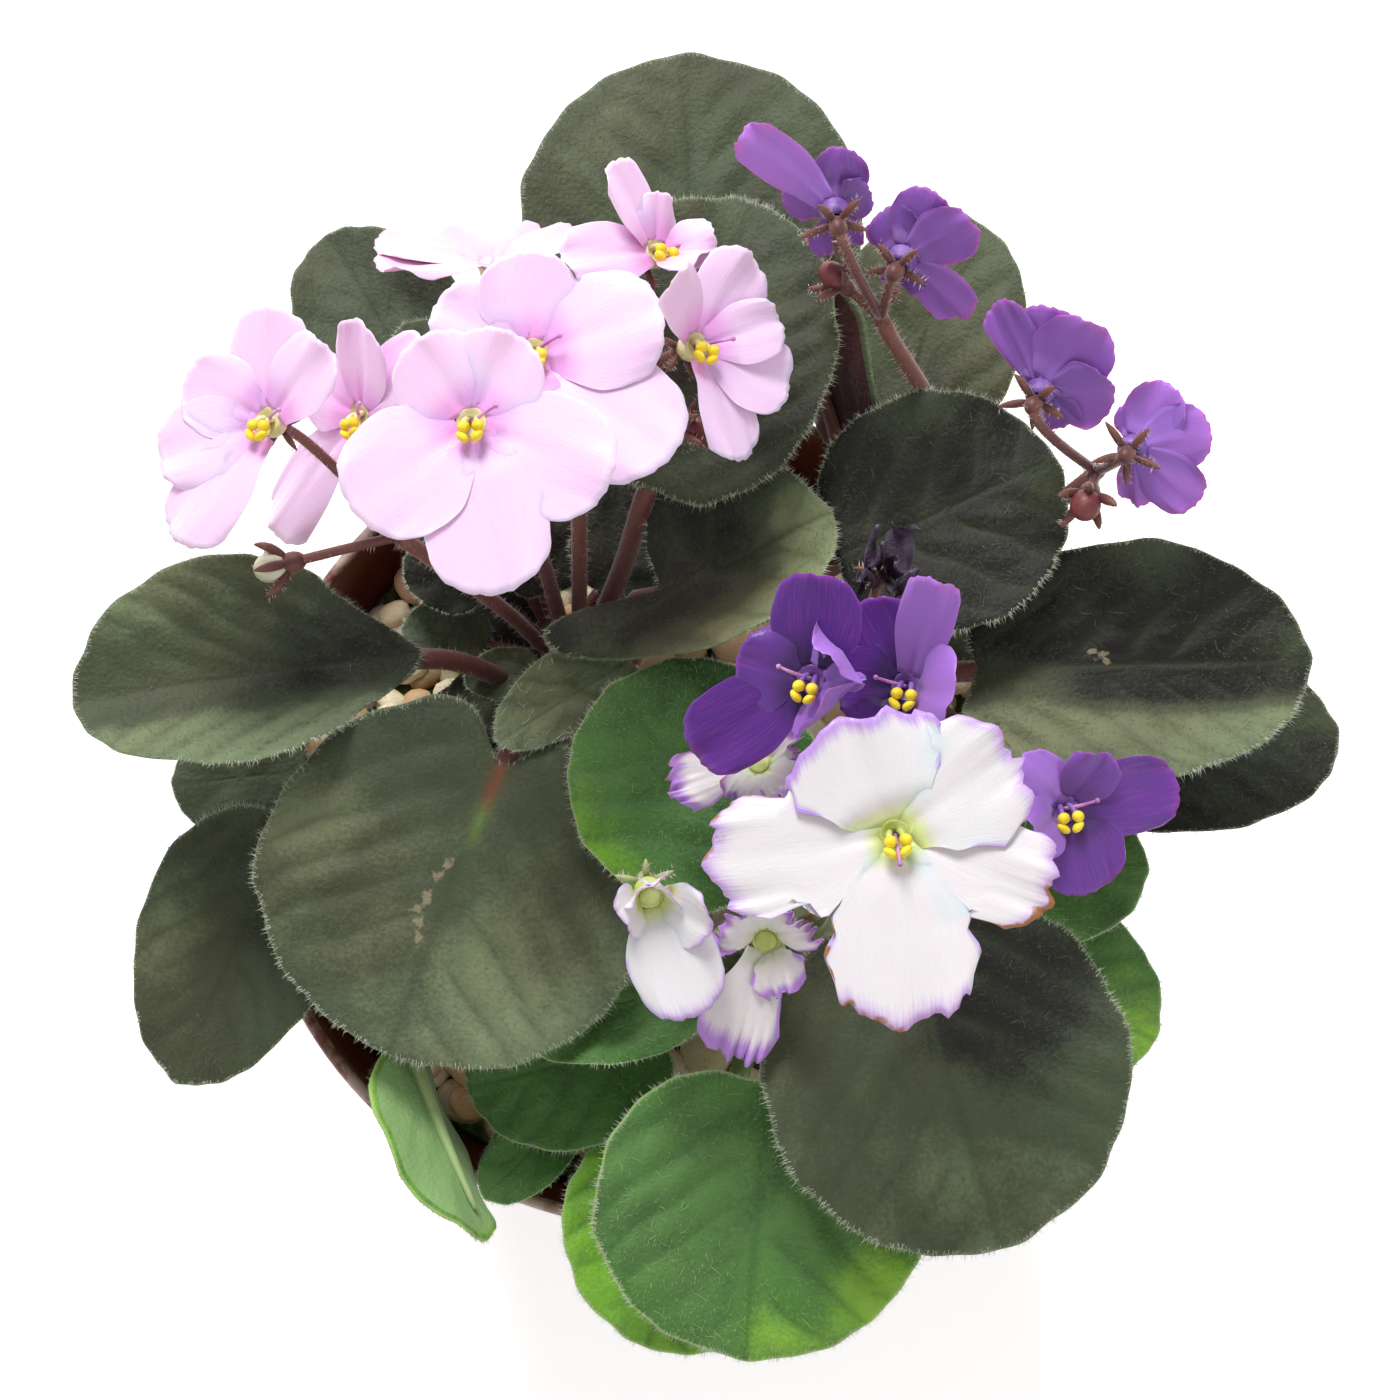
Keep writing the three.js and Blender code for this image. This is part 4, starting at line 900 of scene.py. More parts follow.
def blade_shape(leaf, around, rings):
    """The whole blade: its upper face, its rounded margin and its lower face."""
    radii = np.append(np.linspace(0, 1, rings)[1:-1] ** 0.9, [0.955, 0.98, 0.995, 1.0])
    radii = np.unique(np.round(radii, 4))
    angles = np.arange(around) * TURN / around
    points, places, marks, wear = [], [], [], []
    for upper in (True, False):
        used = radii if upper else radii[:-1]
        r, a = np.meshgrid(used, angles, indexing="ij")
        r, a = np.append(0, r.ravel()), np.append(0, a.ravel())
        p, along, side, veins = blade_points(leaf, r, a, upper)
        tone = leaf_tone_and_shading(leaf, along, side)
        under = np.where(r >= 1, 0.4, 0.0 if upper else 1 - 0.7 * smooth(0.9, 0.96, r))
        points.append(p)
        places.append(np.stack([along, side, r], -1))
        marks.append(np.stack([veins, tone, under], -1))
        wear.append(blade_wear(leaf, along, side) * upper)
    count = len(radii)
    faces = []
    for face, base, rows in ((0, 0, count), (1, len(points[0]), count - 1)):
        for j in range(around):
            k = (j + 1) % around
            first = (base, base + 1 + j, base + 1 + k)
            faces.append(first[::-1] if face else first)
            for i in range(rows - 1):
                low, high = base + 1 + i * around, base + 1 + (i + 1) * around
                quad = (low + j, high + j, high + k, low + k)
                faces.append(quad[::-1] if face else quad)
    rim, last = 1 + (count - 1) * around, len(points[0]) + 1 + (count - 2) * around
    for j in range(around):
        k = (j + 1) % around
        faces.append((rim + j, last + j, last + k, rim + k))
    return shape(np.vstack(points), faces, BLADE, np.vstack(places), np.vstack(marks),
                 np.vstack(wear))


def hair_roots(leaf, count, low, high, power, rng):
    """Places on the upper face, each with its normal and the ways outward and round."""
    a = rng.uniform(0, TURN, count)
    r = rng.uniform(low, high, count) ** power
    step = 0.004
    here = blade_points(leaf, r, a, True)[0]
    out = here - blade_points(leaf, r - step, a, True)[0]
    turn = blade_points(leaf, r, a + step, True)[0] - here
    return here, unit(np.cross(out, turn)), unit(out), unit(turn)


def blade_hairs(leaf, rng):
    """Hairs along the margin, shorter ones all over the upper face, and long curly ones."""
    width, length, shag = leaf["width"], leaf["length"], leaf.get("shag", 1.0)

    count = int(GIRTH * (width + length) * FRINGE_DENSITY)
    roots, normal, out, turn = hair_roots(leaf, count, 0.965, 1.0, 1.0, rng)
    lean = out + rng.normal(scale=0.35, size=(count, 1)) * turn
    lean = lean + rng.uniform(-0.1, 0.6, (count, 1)) * normal
    lengths = rng.uniform(0.7, 1.5, count) * min(1.0, 0.5 + width / 60)
    fringe = hairs(roots, lean, turn + 0.4 * normal, lengths, FRINGE_WIDTH, HAIR)

    count = int(width * length * DOWN_DENSITY)
    roots, normal, out, turn = hair_roots(leaf, count, 0.04, 1.0, 0.4, rng)
    lean = 0.7 * normal + rng.normal(scale=0.6, size=(count, 1)) * turn
    lean = lean + rng.uniform(0, 1.2, (count, 1)) * out
    lengths = rng.uniform(0.4, 1.0, count) * shag
    wide = unit(np.cross(lean, UP) + 0.2 * rng.normal(size=(count, 3)))
    down = hairs(roots, lean, wide, lengths, DOWN_WIDTH, DOWN)

    count = int(width * length * CURLY_DENSITY * shag)
    roots, normal, out, turn = hair_roots(leaf, count, 0.1, 0.98, 0.4, rng)
    lean = 0.35 * normal + rng.normal(size=(count, 1)) * turn + rng.normal(size=(count, 1)) * out
    bends = rng.normal(scale=1.3, size=(count, 1)) * turn - 0.2 * normal
    curly = bent_hairs(roots, lean, bends, rng.uniform(1.1, 2.6, count), CURLY_WIDTH,
                       HAIR if "shag" in leaf else DOWN)
    return [fringe, down, curly]


def rib_line(leaf, share, radius):
    """A point under the blade's midrib."""
    x, y, z = blade_middle(leaf, vec(abs(1 - 2 * share)), vec(math.pi if share < 0.5 else 0.0))
    drop = RIB_RADIUS * radius * (1 - 0.5 * share) + 0.5
    return leaf["at"] + np.array([float(x), float(y), float(z) - drop]) @ leaf["frame"]


def petiole_path(leaf, radius):
    """The middle line and radii of the petiole and of the midrib that it becomes."""
    root = vec((*CROWNS[leaf["crown"]], leaf["level"]))
    at = leaf["at"]
    reach = np.linalg.norm(at - root)
    out = unit((at - root) * (1, 1, 0))
    foot = root + out * reach * PETIOLE_FOOT + UP * PETIOLE_RISE * (at[2] - root[2])
    start = vec(leaf["via"]) if "via" in leaf else foot
    neck_length = leaf.get("neck", min(reach * PETIOLE_RISE, LONGEST_NECK))
    neck = at - leaf["frame"][0] * neck_length - UP * NECK_DROP
    path = bezier([root, start, neck, rib_line(leaf, 0, radius)], PETIOLE_RINGS)
    shares = np.linspace(0.06, 0.85, RIB_RINGS)
    rib = [rib_line(leaf, share, radius) for share in shares]
    radii = [radius] * PETIOLE_RINGS + list(radius * (0.75 - 0.6 * shares))
    return np.vstack([path, rib]), radii


def set_up_leaf(leaf, crown):
    """A leaf of the tables with its crown, its length and its blade's frame."""
    leaf = dict(leaf, crown=crown, at=vec(leaf["at"]), tip=vec(leaf["tip"]))
    leaf["length"] = np.linalg.norm(leaf["tip"] - leaf["at"])
    leaf["frame"] = blade_frame(leaf["at"], leaf["tip"], leaf.get("roll", 0))
    return leaf


def leaf_shapes(leaf, radius, rng):
    """A leaf's blade, its petiole and all its hairs. A small leaf has fewer points."""
    detail = min(1.0, 0.35 + leaf["width"] / 60)
    path, radii = petiole_path(leaf, radius)
    stem = tube(path, radii, 12, STEM)
    fuzz = tube_hairs(path[:PETIOLE_RINGS], radius, int(40 + 130 * detail), 1.1, rng)
    blade = blade_shape(leaf, int(BLADE_SIDES * detail), int(BLADE_RINGS * detail))
    return [blade, stem, fuzz, *blade_hairs(leaf, rng)]


def leaf_materials(leaf):
    if leaf["crown"] == "white":
        return [FRESH_LEAF, GREEN_STEM, FRINGE_HAIR, FRESH_DOWN]
    return [TINGED_LEAF if leaf.get("tinge") else DARK_LEAF, RED_STEM, FRINGE_HAIR, DARK_DOWN]


def make_leaves():
    for number, leaf in enumerate(LEAVES):
        leaf = set_up_leaf(leaf, leaf["name"].split("_")[0])
        rng = np.random.default_rng(100 + number)
        node = "leaf_" + leaf["name"]
        make_piece(node + "_hairy", leaf_shapes(leaf, PETIOLE_RADIUS, rng),
                   leaf_materials(leaf), node)


def make_crowns():
    """Each plant's short stem with its young leaves."""
    for number, (name, (x, y)) in enumerate(CROWNS.items()):
        rng = np.random.default_rng(300 + number)
        path = [(x, y, CROWN_FOOT), (x, y, 102), (x, y, CROWN_TOP - 2), (x, y, CROWN_TOP + 0.6)]
        radii = [CROWN_RADIUS, CROWN_RADIUS, CROWN_RADIUS * 0.8, CROWN_RADIUS * 0.4]
        shapes = [tube(path, radii, 20, STEM), tube_hairs(path[1:], CROWN_RADIUS, 300, 1.2, rng)]
        for young in YOUNG[name]:
            leaf = set_up_leaf(dict(cup=1.5, droop=1, wave=0.3, **young), name)
            shapes += leaf_shapes(leaf, YOUNG_PETIOLE * PETIOLE_RADIUS, rng)
        node = "crown_" + name
        make_piece(node + "_hairy", shapes, leaf_materials(dict(crown=name)), node)


# Flowers
def bloom_frame(face):
    """Rows are a flower's own X, Y and Z, with Z the way it faces."""
    z = unit(vec(face))
    x = unit(vec((1, 0, 0)) - z * z[0])
    return np.array([x, np.cross(z, x), z])


def petal_outline(lobe, form, number, t, s):
    """How far out and how far across each point of a flat petal lies."""
    _, length, width, _ = lobe
    ragged = form["ragged"]
    spot = s + 0.18 * np.sin(4 * s + number)
    teeth = ragged * (1.5 * np.abs(np.sin(4.6 * spot + number))
                      + 0.7 * np.abs(np.sin(11 * spot + 2 * number)))
    fine = 0.12 * np.sin(17 * s + number) + 0.08 * np.sin(29 * s + 2 * number)
    round_end = (0.5 - 0.14 * form["flare"]) * min(width, 1.1 * length)
    end = length - round_end * (1 - np.sqrt(1 - (0.99 * s) ** 2)) * 0.9 - teeth + fine + ragged
    out = (end - PETAL_START) * t
    plain = 0.4 + 0.66 * smooth(-0.2, 0.62, t)
    flared = 0.36 + 0.7 * smooth(-0.1, 0.9, t)
    half = width / 2 * (plain + form["flare"] * (flared - plain))
    half = half * (1 - 0.04 * smooth(0.75, 1.0, t))
    notched = 1 - 0.12 * ragged * np.abs(np.sin(7 * t + number)) * np.abs(s) ** 6
    web = np.minimum(0.88 * (PETAL_START + out), form["web"]) * (1 - smooth(0.5, 0.85, t))
    return out, s * np.maximum(half * notched, web)


def petal_rise(form, lift, out):
    """How far out and how high a petal's middle comes, and how steep it is there."""
    steps = np.linspace(0, LONGEST_PETAL, 201)
    folded = smooth(form["crease"] - 1, form["crease"] + 1.5, steps)
    steep = np.radians(lift + form["fold"] * folded)
    reach = np.cumsum(np.cos(steep)) * steps[1]
    rise = np.cumsum(np.sin(steep)) * steps[1]
    return (np.interp(out, steps, reach - reach[0]), np.interp(out, steps, rise - rise[0]),
            np.interp(out, steps, steep))


def petal_sheet(lobe, form, order, pale, number, upper):
    """One petal's face as a grid from the throat out, in the flower's frame."""
    direction, length, width, lift = lobe
    t, s = np.meshgrid(np.linspace(0, 1, PETAL_ROWS),
                       np.sin(np.linspace(-1, 1, PETAL_COLUMNS) * math.pi / 2), indexing="ij")
    out, across = petal_outline(lobe, form, number, t, s)
    phase = 1.7 * number
    ruffle = (0.6 * t ** 2 * np.sin(3.6 * s + phase) + 0.3 * t ** 3 * np.sin(7 * s + 2 * phase)
              + form["crimp"] * t ** 4 * np.sin(14 * s + 4 * np.sin(3 * s + phase)))
    crease = -0.35 * bump_at(s, 0, 0.18) * (1 - t) + 0.25 * np.abs(s) * t
    curl = -0.9 * t ** 3 * np.abs(s) ** 3
    thinner = 1 - 0.8 * smooth(0.85, 1.0, np.maximum(t, np.abs(s)))
    gap = 0.0 if upper else -PETAL_THICK * thinner
    height = ruffle + crease + curl + 0.3 * order * smooth(0.0, 0.3, t) + gap
    reach, rise, up = petal_rise(form, lift, out)
    x = PETAL_START + reach - height * np.sin(up)
    z = rise + height * np.cos(up)
    turn = math.radians(direction)
    points = np.stack([x * math.cos(turn) - across * math.sin(turn),
                       x * math.sin(turn) + across * math.cos(turn), z], -1)
    edge = np.maximum(t, np.abs(s) ** 2 * smooth(0.1, 0.5, t))
    burnt = form["scorch"] * smooth(0.9, 0.975, edge) * smooth(-0.3, 0.2, -s)
    edge = edge * (1 + form["tint"])
    place = np.stack([t * length / 22, s * width / 16, np.full_like(t, number)], -1)
    marks = np.stack([edge, burnt, np.full_like(t, pale if upper else 0.3 + 0.7 * pale)], -1)
    return points.reshape(-1, 3), place.reshape(-1, 3), marks.reshape(-1, 3)


def sheet_faces(rows, columns):
    """Faces of a thin sheet: its front grid, the same grid behind it, and its rim."""
    size = rows * columns
    faces = grid_faces(rows, columns, flip=True)
    faces += [tuple(size + k for k in face[::-1]) for face in faces]
    rim = ([i * columns for i in range(rows)] + [(rows - 1) * columns + j for j in range(columns)]
           + [i * columns + columns - 1 for i in reversed(range(rows))]
           + list(reversed(range(columns))))
    for a, b in zip(rim, rim[1:]):
        if a != b:
            faces.append((b, a, size + a, size + b))
    return faces


def petal_shape(lobe, form, order, pale, number):
    top = petal_sheet(lobe, form, order, pale, number, True)
    low = petal_sheet(lobe, form, order, pale, number, False)
    return shape(np.vstack([top[0], low[0]]), sheet_faces(PETAL_ROWS, PETAL_COLUMNS),
                 PETAL, np.vstack([top[1], low[1]]), np.vstack([top[2], low[2]]))


def in_frame(part, frame_rows, at):
    part["points"] = vec(at) + part["points"] @ frame_rows
    return part


def throat_shape():
    """The funnel that the petals leave, open in front."""
    profile = [(THROAT_RADIUS - 0.3, 0.0), (THROAT_RADIUS - 0.5, -0.1), (1.5, -0.3), (1.2, -0.5),
               (0.2, -0.7), (1.5, -TUBE_DEPTH), (2.0, -2.2), (THROAT_RADIUS, -0.9),
               (THROAT_RADIUS, -0.4), (THROAT_RADIUS - 0.3, 0.0)]
    return lathe_shape(profile, 24, THROAT_WALL)


def lathe_shape(profile, sides, material=0, marks=None):
    """A round shape from radii and heights, with marks for each of them."""
    turn = np.arange(sides) * TURN / sides
    points = np.array([[(r * math.cos(a), r * math.sin(a), z) for a in turn]
                       for r, z in profile]).reshape(-1, 3)
    faces = grid_faces(len(profile), sides, closed=True)
    tone = None if marks is None else np.repeat(np.asarray(marks, float), sides, axis=0)
    return shape(points, faces, material, None, tone)


def anther_shapes(seed, lean):
    """Two pairs of yellow lobes on short filaments, and the pistil that leans past them."""
    rng = np.random.default_rng(seed)
    tilt = rng.uniform(-0.2, 0.2)
    made = []
    for side in (-1, 1):
        for pair in (-1, 1):
            centre = (side * 1.05 + 0.1 * pair, pair * 0.75 - 1.7, 2.1 + 0.15 * side)
            axes = [(0.9, 0.2 * side, 0.0), (-0.25 * pair * side, 0.85, 0.0), (0, 0, 0.85)]
            made.append(blob(centre, axes, 9, 14, ANTHER_LOBE))
        stem_path = bezier([(side * 0.6, 0.4, -0.6), (side * 1.0, 0.6, 1.2),
                            (side * 1.0, -1.5, 2.0)], 8)
        made.append(tube(stem_path, [0.45] * 8, 8, THROAT_WALL))
    far = vec((math.cos(lean), math.sin(lean), 0))
    style = bezier([(0, 0, -0.5), 2.0 * far + 2.4 * UP, 4.2 * far + 3.2 * UP], 12)
    made.append(tube(style, np.linspace(0.32, 0.2, 12), 8, STYLE))
    made.append(blob(style[-1], np.eye(3) * 0.4, 6, 8, STYLE))
    for part in made:
        part["points"] = turned(part["points"], tilt)
    return made


# How a petal differs from a smooth one: teeth, a narrow base, fine waves, a brown margin, a
# base as wide as its neighbours allow, a violet margin, and a fold in degrees at a crease
PLAIN = dict(ragged=0.0, flare=0.0, crimp=0.1, scorch=0.0, web=0.0, tint=0.0, fold=0.0,
             crease=5.0)
FORMS = {
    "pink": dict(PLAIN, flare=0.15),
    "purple": dict(PLAIN, flare=0.1),
    "white": dict(PLAIN, ragged=1.0, flare=0.75, crimp=0.3, scorch=1.0),
}


def make_blooms():
    """Each flower, with its stamens in it or, where they face the camera, beside it."""
    for number, bloom in enumerate(BLOOMS):
        rows = bloom_frame(bloom["face"])
        lobes = bloom["lobes"]
        # The lobe that points down lies on top of the others
        nearest_down = sorted(range(5), key=lambda i: abs((lobes[i][0] - 90) % 360 - 180))
        form = dict(FORMS[bloom["colour"]], **bloom.get("form", {}))
        pale = bloom.get("pale", (0, 0, 0, 0, 0))
        shapes = [throat_shape()]
        if bloom.get("away"):
            white = bloom["colour"] == "white"
            cap = np.diag([1.7, 1.7, 0.4] if white else [2.1, 2.1, 0.5])
            shapes.append(blob((0, 0, -0.1), cap, 8, 16, THROAT_WALL if white else PETAL))
        for i, lobe in enumerate(lobes):
            own = dict(form, order=4 - nearest_down.index(i))
            if "each" in bloom:
                own.update(bloom["each"][i])
            shapes.append(petal_shape(lobe, own, own["order"], pale[i], 5 * number + i))
        petals = FRINGED_PETAL if form["crimp"] > 1 else PETALS[bloom["colour"]]
        materials = [petals, THROAT[bloom["colour"]], ANTHER, PISTIL]
        stamens = anther_shapes(number, math.radians(bloom.get("style", 20)))
        if not bloom.get("stamens") and not bloom.get("away"):
            shapes += stamens
        shapes = [in_frame(part, rows, bloom["at"]) for part in shapes]
        node = "bloom_" + bloom["name"]
        make_piece(node + "_petals", shapes, materials, node)
        if bloom.get("stamens"):
            stamens = [in_frame(part, rows, bloom["at"]) for part in stamens]
            node = "stamens_" + bloom["name"]
            make_piece(node + "_lobes", stamens, materials, node)


def calyx_shapes(at, face, rng, size=1.0, closed=0.0):
    """A cup with five narrow hairy sepals. Round a bud they are closed and point forward."""
    rows = bloom_frame(face)
    made = [blob((0, 0, -0.9), np.diag([1.2, 1.2, 1.6]) * size, 8, 12, SEPAL_SKIN)]
    for i in range(SEPALS):
        length = SEPAL_LENGTH * size * rng.uniform(0.85, 1.1)
        rise = closed * rng.uniform(0.7, 1.15)
        out, up = length * math.cos(rise), length * math.sin(rise)
        path = bezier([(0.8, 0, -0.2), (0.6 * length, 0, 0.4 * up), (out, 0, up - 0.12 * out)], 9)
        radii = SEPAL_RADIUS * size * np.sin(np.linspace(0.6, math.pi - 0.1, 9)) ** 0.8
        sepal = tube(path, radii, 8, SEPAL_SKIN)
        for part in (sepal, tube_hairs(path, 0.5 * size, 26, 0.75, rng)):
            part["points"] = turned(part["points"], i * TURN / SEPALS + 0.3)
            made.append(part)
    return [in_frame(part, rows, at) for part in made]


def pedicel_shapes(path, sides, hair_count, length, rng):
    """A flower's own thin stem with its hairs."""
    return [tube(path, [PEDICEL_RADIUS] * len(path), sides, STALK_SKIN),
            tube_hairs(path, PEDICEL_RADIUS, hair_count, length, rng)]


def bud_shapes(top, bud, rng):
    """A closed bud on its pedicel, held by its calyx."""
    x, y, z, radius = bud
    start, at = vec(top), vec((x, y, z))
    along = unit(at - start)
    rows = bloom_frame(along)
    stem = bezier([start, (start + at) / 2 + 0.6 * UP, at], 8)
    made = pedicel_shapes(stem, 8, 50, 0.9, rng)
    half = radius * 1.15
    body = blob((0, 0, half), np.diag([radius, radius, half]), 10, 16, BUD_SKIN)
    made.append(in_frame(body, rows, at))
    return made + calyx_shapes(at + 0.3 * along, along, rng, 0.6 * radius, 0.75)


def bloom_stem_shapes(top, bloom, rng):
    """The pedicel from a stalk's top to the back of a flower, and the calyx there."""
    face = unit(vec(bloom["face"]))
    end = vec(bloom["at"]) - face * (TUBE_DEPTH + 0.3)
    towards = end - face * np.linalg.norm(end - top) * 0.3
    pedicel = bezier([top, towards, end - 0.7 * face], 12)
    size = 1.2 if bloom.get("away") and bloom["colour"] == "purple" else 1.0
    return pedicel_shapes(pedicel, 10, 170, 1.0, rng) + calyx_shapes(end, face, rng, size)


# The strips of the dead flower: foot and tip from its calyx, width and twist
RAGS = [((-4, -4.5, 0), (-0.5, 5.5, 7), 1.6, 0.8), ((1.4, 0, 1), (3.8, 5.2, 8), 5.0, 0.3),
        ((0.6, -1, 0), (2.4, 1.5, 6), 3.4, -1.0), ((-0.8, -0.6, 0), (-0.6, 3, 6), 2.4, 1.2),
        ((0.6, -0.8, 0), (4.6, -3, 5), 2.8, -0.8), ((-1, -1, 0), (-3.4, -2.5, 4), 2.2, 0.6)]


def rag_shape(foot, tip, width, twist, phase):
    """One crumpled strip of a dead petal."""
    t, s = np.meshgrid(np.linspace(0, 1, 14), np.linspace(-1, 1, 9), indexing="ij")
    along = unit(tip - foot)
    across = unit(np.cross(along, vec((0.3, 1.0, 0.2))))
    out = np.cross(along, across)
    wave = np.sin(9 * t + phase) * 0.14 + 0.1 * np.sin(23 * t + 2 * phase)
    half = width / 2 * (0.45 + 0.8 * np.sin(2.6 * t) + wave)
    turn = twist * t + 1.2 * s * np.sin(5 * t + phase)
    flat = s * half
    points = (foot + (tip - foot) * t[..., None] + across * (flat * np.cos(turn))[..., None]
              + out * (flat * np.sin(turn) + 0.8 * np.sin(6 * t + phase))[..., None])
    back = points - 0.35 * along - 0.3 * out
    return shape(np.vstack([points.reshape(-1, 3), back.reshape(-1, 3)]), sheet_faces(*t.shape),
                 RAG_SKIN)


def withered_shapes(top, place, rng):
    """A dead flower: dark crumpled rags that stand up from its calyx."""
    at = vec(place)
    stem = bezier([vec(top), (vec(top) + at) / 2, at], 8)
    made = [tube(stem, [PEDICEL_RADIUS] * 8, 8, STALK_SKIN)]
    for number, (foot, tip, width, twist) in enumerate(RAGS):
        made.append(rag_shape(at + vec(foot), at + vec(tip), width, twist, 1.3 * number))
    return made + calyx_shapes(at, unit(at - vec(top)), rng)


def make_sprays():
    """Each branched stalk from its crown, with all that it carries but the flowers."""
    by_name = {bloom["name"]: bloom for bloom in BLOOMS}
    for number, spray in enumerate(SPRAYS):
        rng = np.random.default_rng(500 + number)
        cx, cy = CROWNS[spray["crown"]]
        first, top = vec(spray["via"]), vec(spray["top"])
        outward = unit((first - (cx, cy, 0)) * (1, 1, 0))
        root = vec((cx, cy, CROWN_TOP - 4)) + outward * STALK_SPREAD
        path = through([root, first, top], 9)
        shapes = [tube(path, [STALK_RADIUS] * len(path), 12, STALK_SKIN),
                  tube_hairs(path, STALK_RADIUS, 420, 1.1, rng),
                  blob(top, np.eye(3) * STALK_RADIUS, 8, 12, STALK_SKIN)]
        for name in spray["blooms"]:
            shapes += bloom_stem_shapes(top, by_name[name], rng)
        for bud in spray["buds"]:
            shapes += bud_shapes(top, bud, rng)
        if "withered" in spray:
            shapes += withered_shapes(top, spray["withered"], rng)
        fresh = spray["crown"] == "white"
        stems = [PALE_STALK, PALE_SEPAL] if fresh else [STALK, SEPAL]
        bud_skin = BUD if spray["name"] == "pink_left" else MAROON_BUD
        node = "spray_" + spray["name"]
        make_piece(node + "_hairy", shapes, [*stems, PINK_HAIR, bud_skin, WITHERED], node)


# Pot and filling
def outer_radius(z):
    """The pot's outside below its band."""
    return BASE_RADIUS + (BAND_RADIUS - BASE_RADIUS) * z / (POT_HEIGHT - RIM_BAND)


def drained_floor():
    """The pot's floor, open where the drain holes pass through it."""
    sides, half = POT_SIDES, 12
    radii = [4.0, 12.0, 18.0, 23.0, DRAIN_RING, 33.0, 38.0]
    inner, outer = 2, 6
    turn = np.arange(sides) * TURN / sides
    ends = {FOOT_HOLLOW: BASE_RADIUS - 8, FLOOR: outer_radius(FLOOR) - WALL}
    holes = [sides // 8 + k * sides // 4 for k in range(4)]
    points, faces, rings = [], [], []
    for z, end in ends.items():
        base, down = len(points), z < FLOOR
        for r in [*radii, end]:
            points += [(r * math.cos(a), r * math.sin(a), z) for a in turn]
        for i, j, k, m in grid_faces(len(radii) + 1, sides, closed=True):
            row, column = divmod(i, sides)
            cut = any(-half <= column - hole < half for hole in holes)
            if not (inner <= row < outer and cut):
                quad = (base + i, base + m, base + k, base + j)
                faces.append(quad[::-1] if down else quad)
        centre = len(points)
        points.append((0, 0, z))
        for j in range(sides):
            corner = (centre, base + j, base + (j + 1) % sides)
            faces.append(corner[::-1] if down else corner)
        for hole in holes:
            left, right = hole - half, hole + half
            loop = ([(inner, c) for c in range(left, right)]
                    + [(r, right) for r in range(inner, outer)]
                    + [(outer, c) for c in range(right, left, -1)]
                    + [(r, left) for r in range(outer, inner, -1)])
            loop = [base + r * sides + c for r, c in loop]
            middle = vec((math.cos(turn[hole]), math.sin(turn[hole]), 0)) * DRAIN_RING + z * UP
            ring = len(points)
            for k in loop:
                points.append(tuple(middle + DRAIN_RADIUS * unit(vec(points[k]) - middle)))
            count = len(loop)
            rings.append((ring, count))
            for k in range(count):
                n = (k + 1) % count
                quad = (loop[k], loop[n], ring + n, ring + k)
                faces.append(quad if down else quad[::-1])
    for (low, count), (high, _) in zip(rings[:4], rings[4:]):
        for k in range(count):
            n = (k + 1) % count
            faces.append((low + k, low + n, high + n, high + k))
    return shape(points, faces)


def make_pot():
    """The wall with its band and rolled rim, from the foot up outside and down inside."""
    base, rim, top = BASE_RADIUS, RIM_RADIUS, POT_HEIGHT
    band, inside = POT_HEIGHT - RIM_BAND, RIM_RADIUS - WALL
    profile = [(base - 8, FOOT_HOLLOW), (base - 6, 0), (base - 1.2, 0), (base - 0.3, 0.4),
               *[(outer_radius(z), z) for z in (2, 30, 60, band - 2, band - 1, band)],
               (rim - 1.8, band), (rim - 1.1, band + 0.3), (rim - 0.9, band + 1.2),
               (rim - 0.1, top - 2.2), (rim, top - 1.2), (rim - 0.2, top - 0.4), (rim - 0.7, top),
               (inside + 0.6, top), (inside + 0.1, top - 0.4), (inside - 0.1, top - 1.5),
               (inside - 0.5, band + 2), (outer_radius(band) - WALL, band - 1),
               (outer_radius(FLOOR) - WALL, FLOOR)]
    # The rim's top edge, and faintly the band's step, take the paler colour: scuffs with a painted
    # highlight
    marks = [(1.0 if z > top - 0.9 else 0.25 if abs(z - band) < 0.7 else 0.0, 0, 0)
             for r, z in profile]
    make_piece("pot_moulded", [lathe_shape(profile, POT_SIDES, 0, marks), drained_floor()],
               [PLASTIC], "pot")


def stone_bend(rng):
    """How one stone differs from a ball."""
    waves = rng.normal(size=(4, 3)) * 1.6
    turns = rng.uniform(0, TURN, 4)

    def bend(ball):
        swell = sum(0.05 * np.sin(ball @ wave + turn) for wave, turn in zip(waves, turns))
        squared = np.sign(ball) * np.abs(ball) ** 0.82
        return squared * (1 + swell)[:, None]
    return bend


